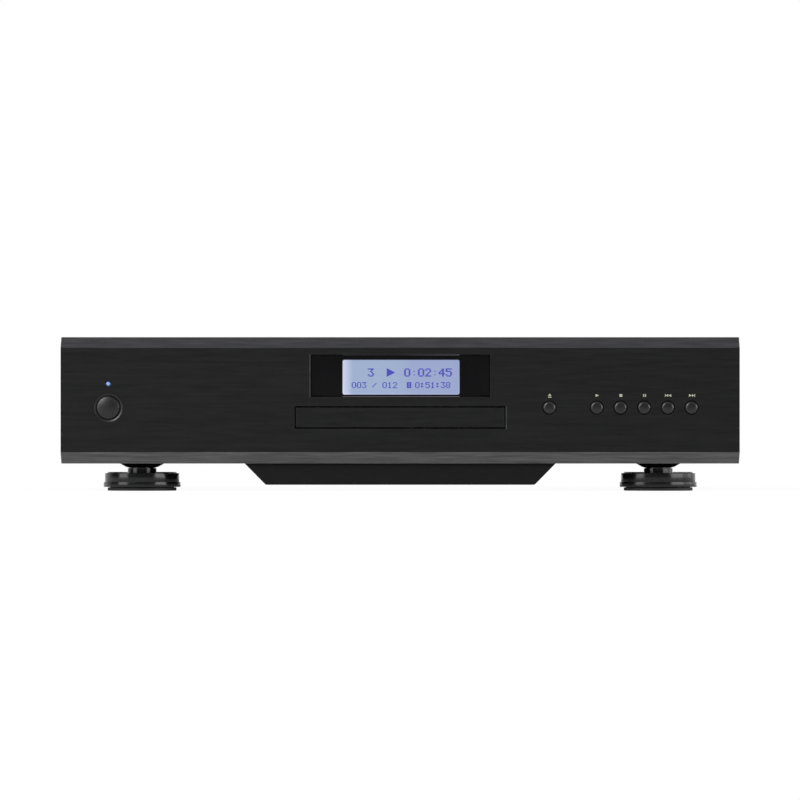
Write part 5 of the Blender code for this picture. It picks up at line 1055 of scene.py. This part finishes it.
def rack_outline(start, end):
    """Outline of the tray's rack, with a gap between teeth level with the gear's axis."""
    pitch = math.pi * MODULE
    tip, tip_half = RACK_X - MODULE * TOOTH_TIP[0], pitch * TOOTH_TIP[1]
    root, root_half = RACK_X + MODULE * TOOTH_ROOT[0], pitch * TOOTH_ROOT[1]
    points = [(RACK_BACK_X, end), (RACK_BACK_X, start), (root, start)]
    for tooth in range(math.ceil((start - GEAR_Y) / pitch), math.floor((end - GEAR_Y) / pitch)):
        y = GEAR_Y + (2 * tooth + 1) * pitch / 2
        points += [(root, y - root_half), (tip, y - tip_half), (tip, y + tip_half), (root, y + root_half)]
    points.append((root, end))
    return points


# Rear sockets


def in_socket(node):
    """Place on the rear panel's outside, on the axis of a round socket."""
    return Vector((middle(node).x, REAR_Y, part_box(node)[1].z - SOCKET_HALF))


def make_jacks():
    """Gilt phono sockets with a coloured insulator, and their housings behind the panel."""
    for node, colour in JACK_COLOURS.items():
        shell = shaped(turned, softened(JACK_SHELL), in_socket(node), REAR, loop=True)
        dress(solid(node + "_shell", shell), "gilt_brass", replaced=[node])
        liner = shaped(turned, softened(JACK_LINER), in_socket(node), REAR, loop=True)
        dress(solid(node + "_insulator", liner), "socket_black", finish=colour)
        make_housing(node, colour)


def make_housing(node, colour):
    """Housing of a round socket, standing on the main board behind the panel."""
    low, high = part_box(node)
    centre = middle(node)
    back = low.y + SOCKET_DEPTH
    outline = rectangle(centre.x, centre.z, 2 * SOCKET_HALF, high.z - low.z)
    shape = shaped(upright, outline, low.y, back)
    turned(shape, COLLAR, (centre.x, back, high.z - SOCKET_HALF), REAR)
    housing = solid(node + "_housing", shape)
    round_edges(housing, SOCKET_EDGE)
    dress(housing, "socket_black", finish=colour)


def make_trigger_jack():
    """Small socket with a bright contact ring in its bore."""
    node = "trigger_jack"
    shell = shaped(turned, softened(TRIGGER_SHELL), in_socket(node), REAR, loop=True)
    dress(solid("trigger_shell", shell), "socket_black", replaced=[node])
    ring = shaped(turned, TRIGGER_RING, in_socket(node), REAR, SMALL_SIDES, loop=True)
    dress(solid("trigger_contact", ring), "zinc_steel")
    make_housing(node, "socket_black")


def make_port_contacts():
    """Sprung gilt contacts in the mouth of the control port."""
    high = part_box("control_port")[1]
    shape = bmesh.new()
    for contact in range(CONTACT_COUNT):
        x = middle("control_port").x + (contact - (CONTACT_COUNT - 1) / 2) * CONTACT_PITCH
        start = (x, high.y - CONTACT_INSET, high.z - CONTACT_DROP)
        turned(shape, CONTACT_PROFILE, start, CONTACT_SLANT, CONTACT_SIDES)
    dress(solid("port_contacts", shape), "gilt_brass")


def make_inlet_pins():
    """Plated sleeves on the three pins of the mains inlet."""
    centre = middle("mains_inlet")
    shape = bmesh.new()
    for across, up in PIN_PLACES:
        outline = rectangle(centre.x + across, centre.z + up, *PIN_SIZE, PIN_CORNER_STEPS)
        upright(shape, outline, INLET_Y - PIN_FRONT, INLET_Y - PIN_BACK)
    pins = solid("inlet_pins", shape)
    round_edges(pins, PIN_EDGE)
    dress(pins, "polished_steel")


# Screws


def hexagon(apothem):
    """Radius of a six-sided recess at an angle."""
    return lambda angle: apothem / math.cos(math.remainder(angle, math.pi / 3))


def cross(reach, half):
    """Radius of a cross-shaped recess at an angle."""
    def radius(angle):
        c = max(abs(math.cos(angle)), TINY)
        s = max(abs(math.sin(angle)), TINY)
        return max(min(reach / c, half / s), min(half / c, reach / s))
    return radius


def make_screw(name, origin, facing, recess, size=SCREW):
    """Pan head with a recess, seated on a panel."""
    radius, height = size
    profile = [(radius * reach, height * share) for reach, share in HEAD]
    profile += [(recess, height), (recess, height * RECESS_RIM), (0, height * RECESS_MIDDLE)]
    head = shaped(turned, profile, Vector(origin) + facing * HAIR, facing, SMALL_SIDES)
    dress(solid(name, head), "zinc_steel", finish="screw_black")


def make_screws():
    """Screws of the cover's sides, of the rear panel, of the inlet and of the underside."""
    low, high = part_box("top_cover")
    recess = hexagon(HEXAGON)
    for side, x, facing in (("left", low.x, LEFT), ("right", high.x, RIGHT)):
        for place, y in (("front", low.y + SIDE_SCREW_INSET), ("rear", high.y - SIDE_SCREW_INSET)):
            origin = (x, y, low.z + SIDE_SCREW_RISE)
            make_screw(f"side_screw_{side}_{place}", origin, facing, recess, SIDE_SCREW)
    mark = cross(*CROSS)
    low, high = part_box("rear_panel")
    for index, x in enumerate(REAR_TOP_SCREWS):
        make_screw(f"rear_top_screw_{index}", (x, REAR_Y, high.z - REAR_TOP_DROP), REAR, mark)
    for index, x in enumerate(REAR_LOW_SCREWS):
        make_screw(f"rear_low_screw_{index}", (x, REAR_Y, low.z + REAR_LOW_RISE), REAR, mark)
    inlet = middle("mains_inlet")
    for side in (-1, 1):
        origin = (inlet.x + side * INLET_SCREW_REACH, INLET_Y, inlet.z)
        make_screw(f"inlet_screw_{side + 1}", origin, REAR, cross(*SMALL_CROSS), INLET_SCREW)
    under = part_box("base_pan")[0].z
    for index, (x, y) in enumerate(UNDER_SCREWS):
        make_screw(f"under_screw_{index}", (x, y, under), DOWN, mark)


# Studio


def product(tree, first, second):
    return wire(tree, "Math", {0: first, 1: second}, operation="MULTIPLY")


def largest(tree, most, *others):
    for other in others:
        most = wire(tree, "Math", {0: most, 1: other}, operation="MAXIMUM")
    return most


def light_world():
    """White behind the player for the camera, and a soft sky that lights it from above."""
    world = bpy.data.worlds.new("studio")
    bpy.context.scene.world = world
    world.use_nodes = True
    tree = world.node_tree
    way = wire(tree, "SeparateXYZ", {"Vector": wire(tree, "TexCoord", {}, "Generated")}).node.outputs
    sky = remap(tree, way["Z"], *SKY_SPAN, interpolation_type="SMOOTHSTEP")
    backdrop = remap(tree, way["Y"], *BACKDROP_SPAN, interpolation_type="SMOOTHSTEP")
    rays = tree.nodes.new("ShaderNodeLightPath").outputs
    reflected = product(tree, rays["Is Glossy Ray"], backdrop)
    strength = largest(tree, sky, rays["Is Camera Ray"], rays["Is Transmission Ray"], reflected)
    background = tree.nodes["Background"]
    tree.links.new(strength, background.inputs["Strength"])
    background.inputs["Color"].default_value = (1, 1, 1, 1)


def make_floor():
    """White floor that keeps a soft shadow of the player."""
    shape = bmesh.new()
    corners = [(u, v, -HAIR) for u, v in rectangle(0, 0, FLOOR_WIDTH, FLOOR_WIDTH)]
    shape.faces.new([shape.verts.new(corner) for corner in corners])
    floor = solid("studio_floor", shape)
    paint = Finish("studio_white", FLOOR_WHITE, roughness=1.0, Specular_IOR_Level=0.0)
    tree = paint.tree
    reach = wire(tree, "VectorMath", {0: paint.place()}, "Value", operation="LENGTH")
    rays = tree.nodes.new("ShaderNodeLightPath").outputs
    shares = []
    for ray, near, far in FLOOR_GLOW:
        fade = remap(tree, reach, *SHADOW_REACH, near, far)
        shares.append(product(tree, rays[ray], fade))
    inputs = {"Fac": largest(tree, *shares), 1: paint.shader.outputs["BSDF"], 2: wire(tree, "Emission", {})}
    tree.links.new(wire(tree, "MixShader", inputs), tree.nodes["Material Output"].inputs["Surface"])
    floor.data.materials.append(paint.material)


def make_softbox(name, azimuth, elevation, width, height, radiance):
    """Lamp that faces the middle of the fascia."""
    lamp = bpy.data.lights.new(name, "AREA")
    lamp.shape = "RECTANGLE"
    lamp.size = width
    lamp.size_y = height
    lamp.energy = radiance * math.pi * width * height
    holder = add(name, lamp)
    a, e = math.radians(azimuth), math.radians(elevation)
    away = Vector((math.sin(a) * math.cos(e), -math.cos(a) * math.cos(e), math.sin(e)))
    holder.location = Vector((0, FRONT_Y, middle("fascia").z)) + away * LAMP_DISTANCE
    holder.rotation_euler = away.to_track_quat("Z", "Y").to_euler()
    holder.visible_camera = False


def place_camera():
    """Level camera straight in front, a little under the middle, as in the photograph."""
    camera = bpy.data.cameras.new("camera")
    camera.lens = CAMERA_LENS
    camera.shift_x, camera.shift_y = CAMERA_SHIFT
    holder = add("camera", camera)
    holder.location = (0, FRONT_Y - CAMERA_DISTANCE, CAMERA_HEIGHT)
    holder.rotation_euler = (math.pi / 2, 0, 0)
    bpy.context.scene.camera = holder


dress_packed_nodes()
for name in ("top_cover", "base_pan", "rear_panel", "front_subpanel", "mains_inlet", "control_port"):
    soften_node(name, SHEET_EDGE)
soften_node("chin_pan", PAN_EDGE)
make_fascia()
make_power_ring()
make_window()
make_characters()
make_painted_screen_glints()
make_painted_edge_highlights()
make_screen_border()
make_tray_flap()
make_keys()
make_power_button()
make_pilot_light()
make_pictograms()
make_feet()
make_disc_tray()
make_jacks()
make_trigger_jack()
make_port_contacts()
make_inlet_pins()
make_screws()
light_world()
make_floor()
for name, values in LAMPS.items():
    make_softbox(name, *values)
place_camera()
bpy.context.scene.view_settings.view_transform = "Standard"
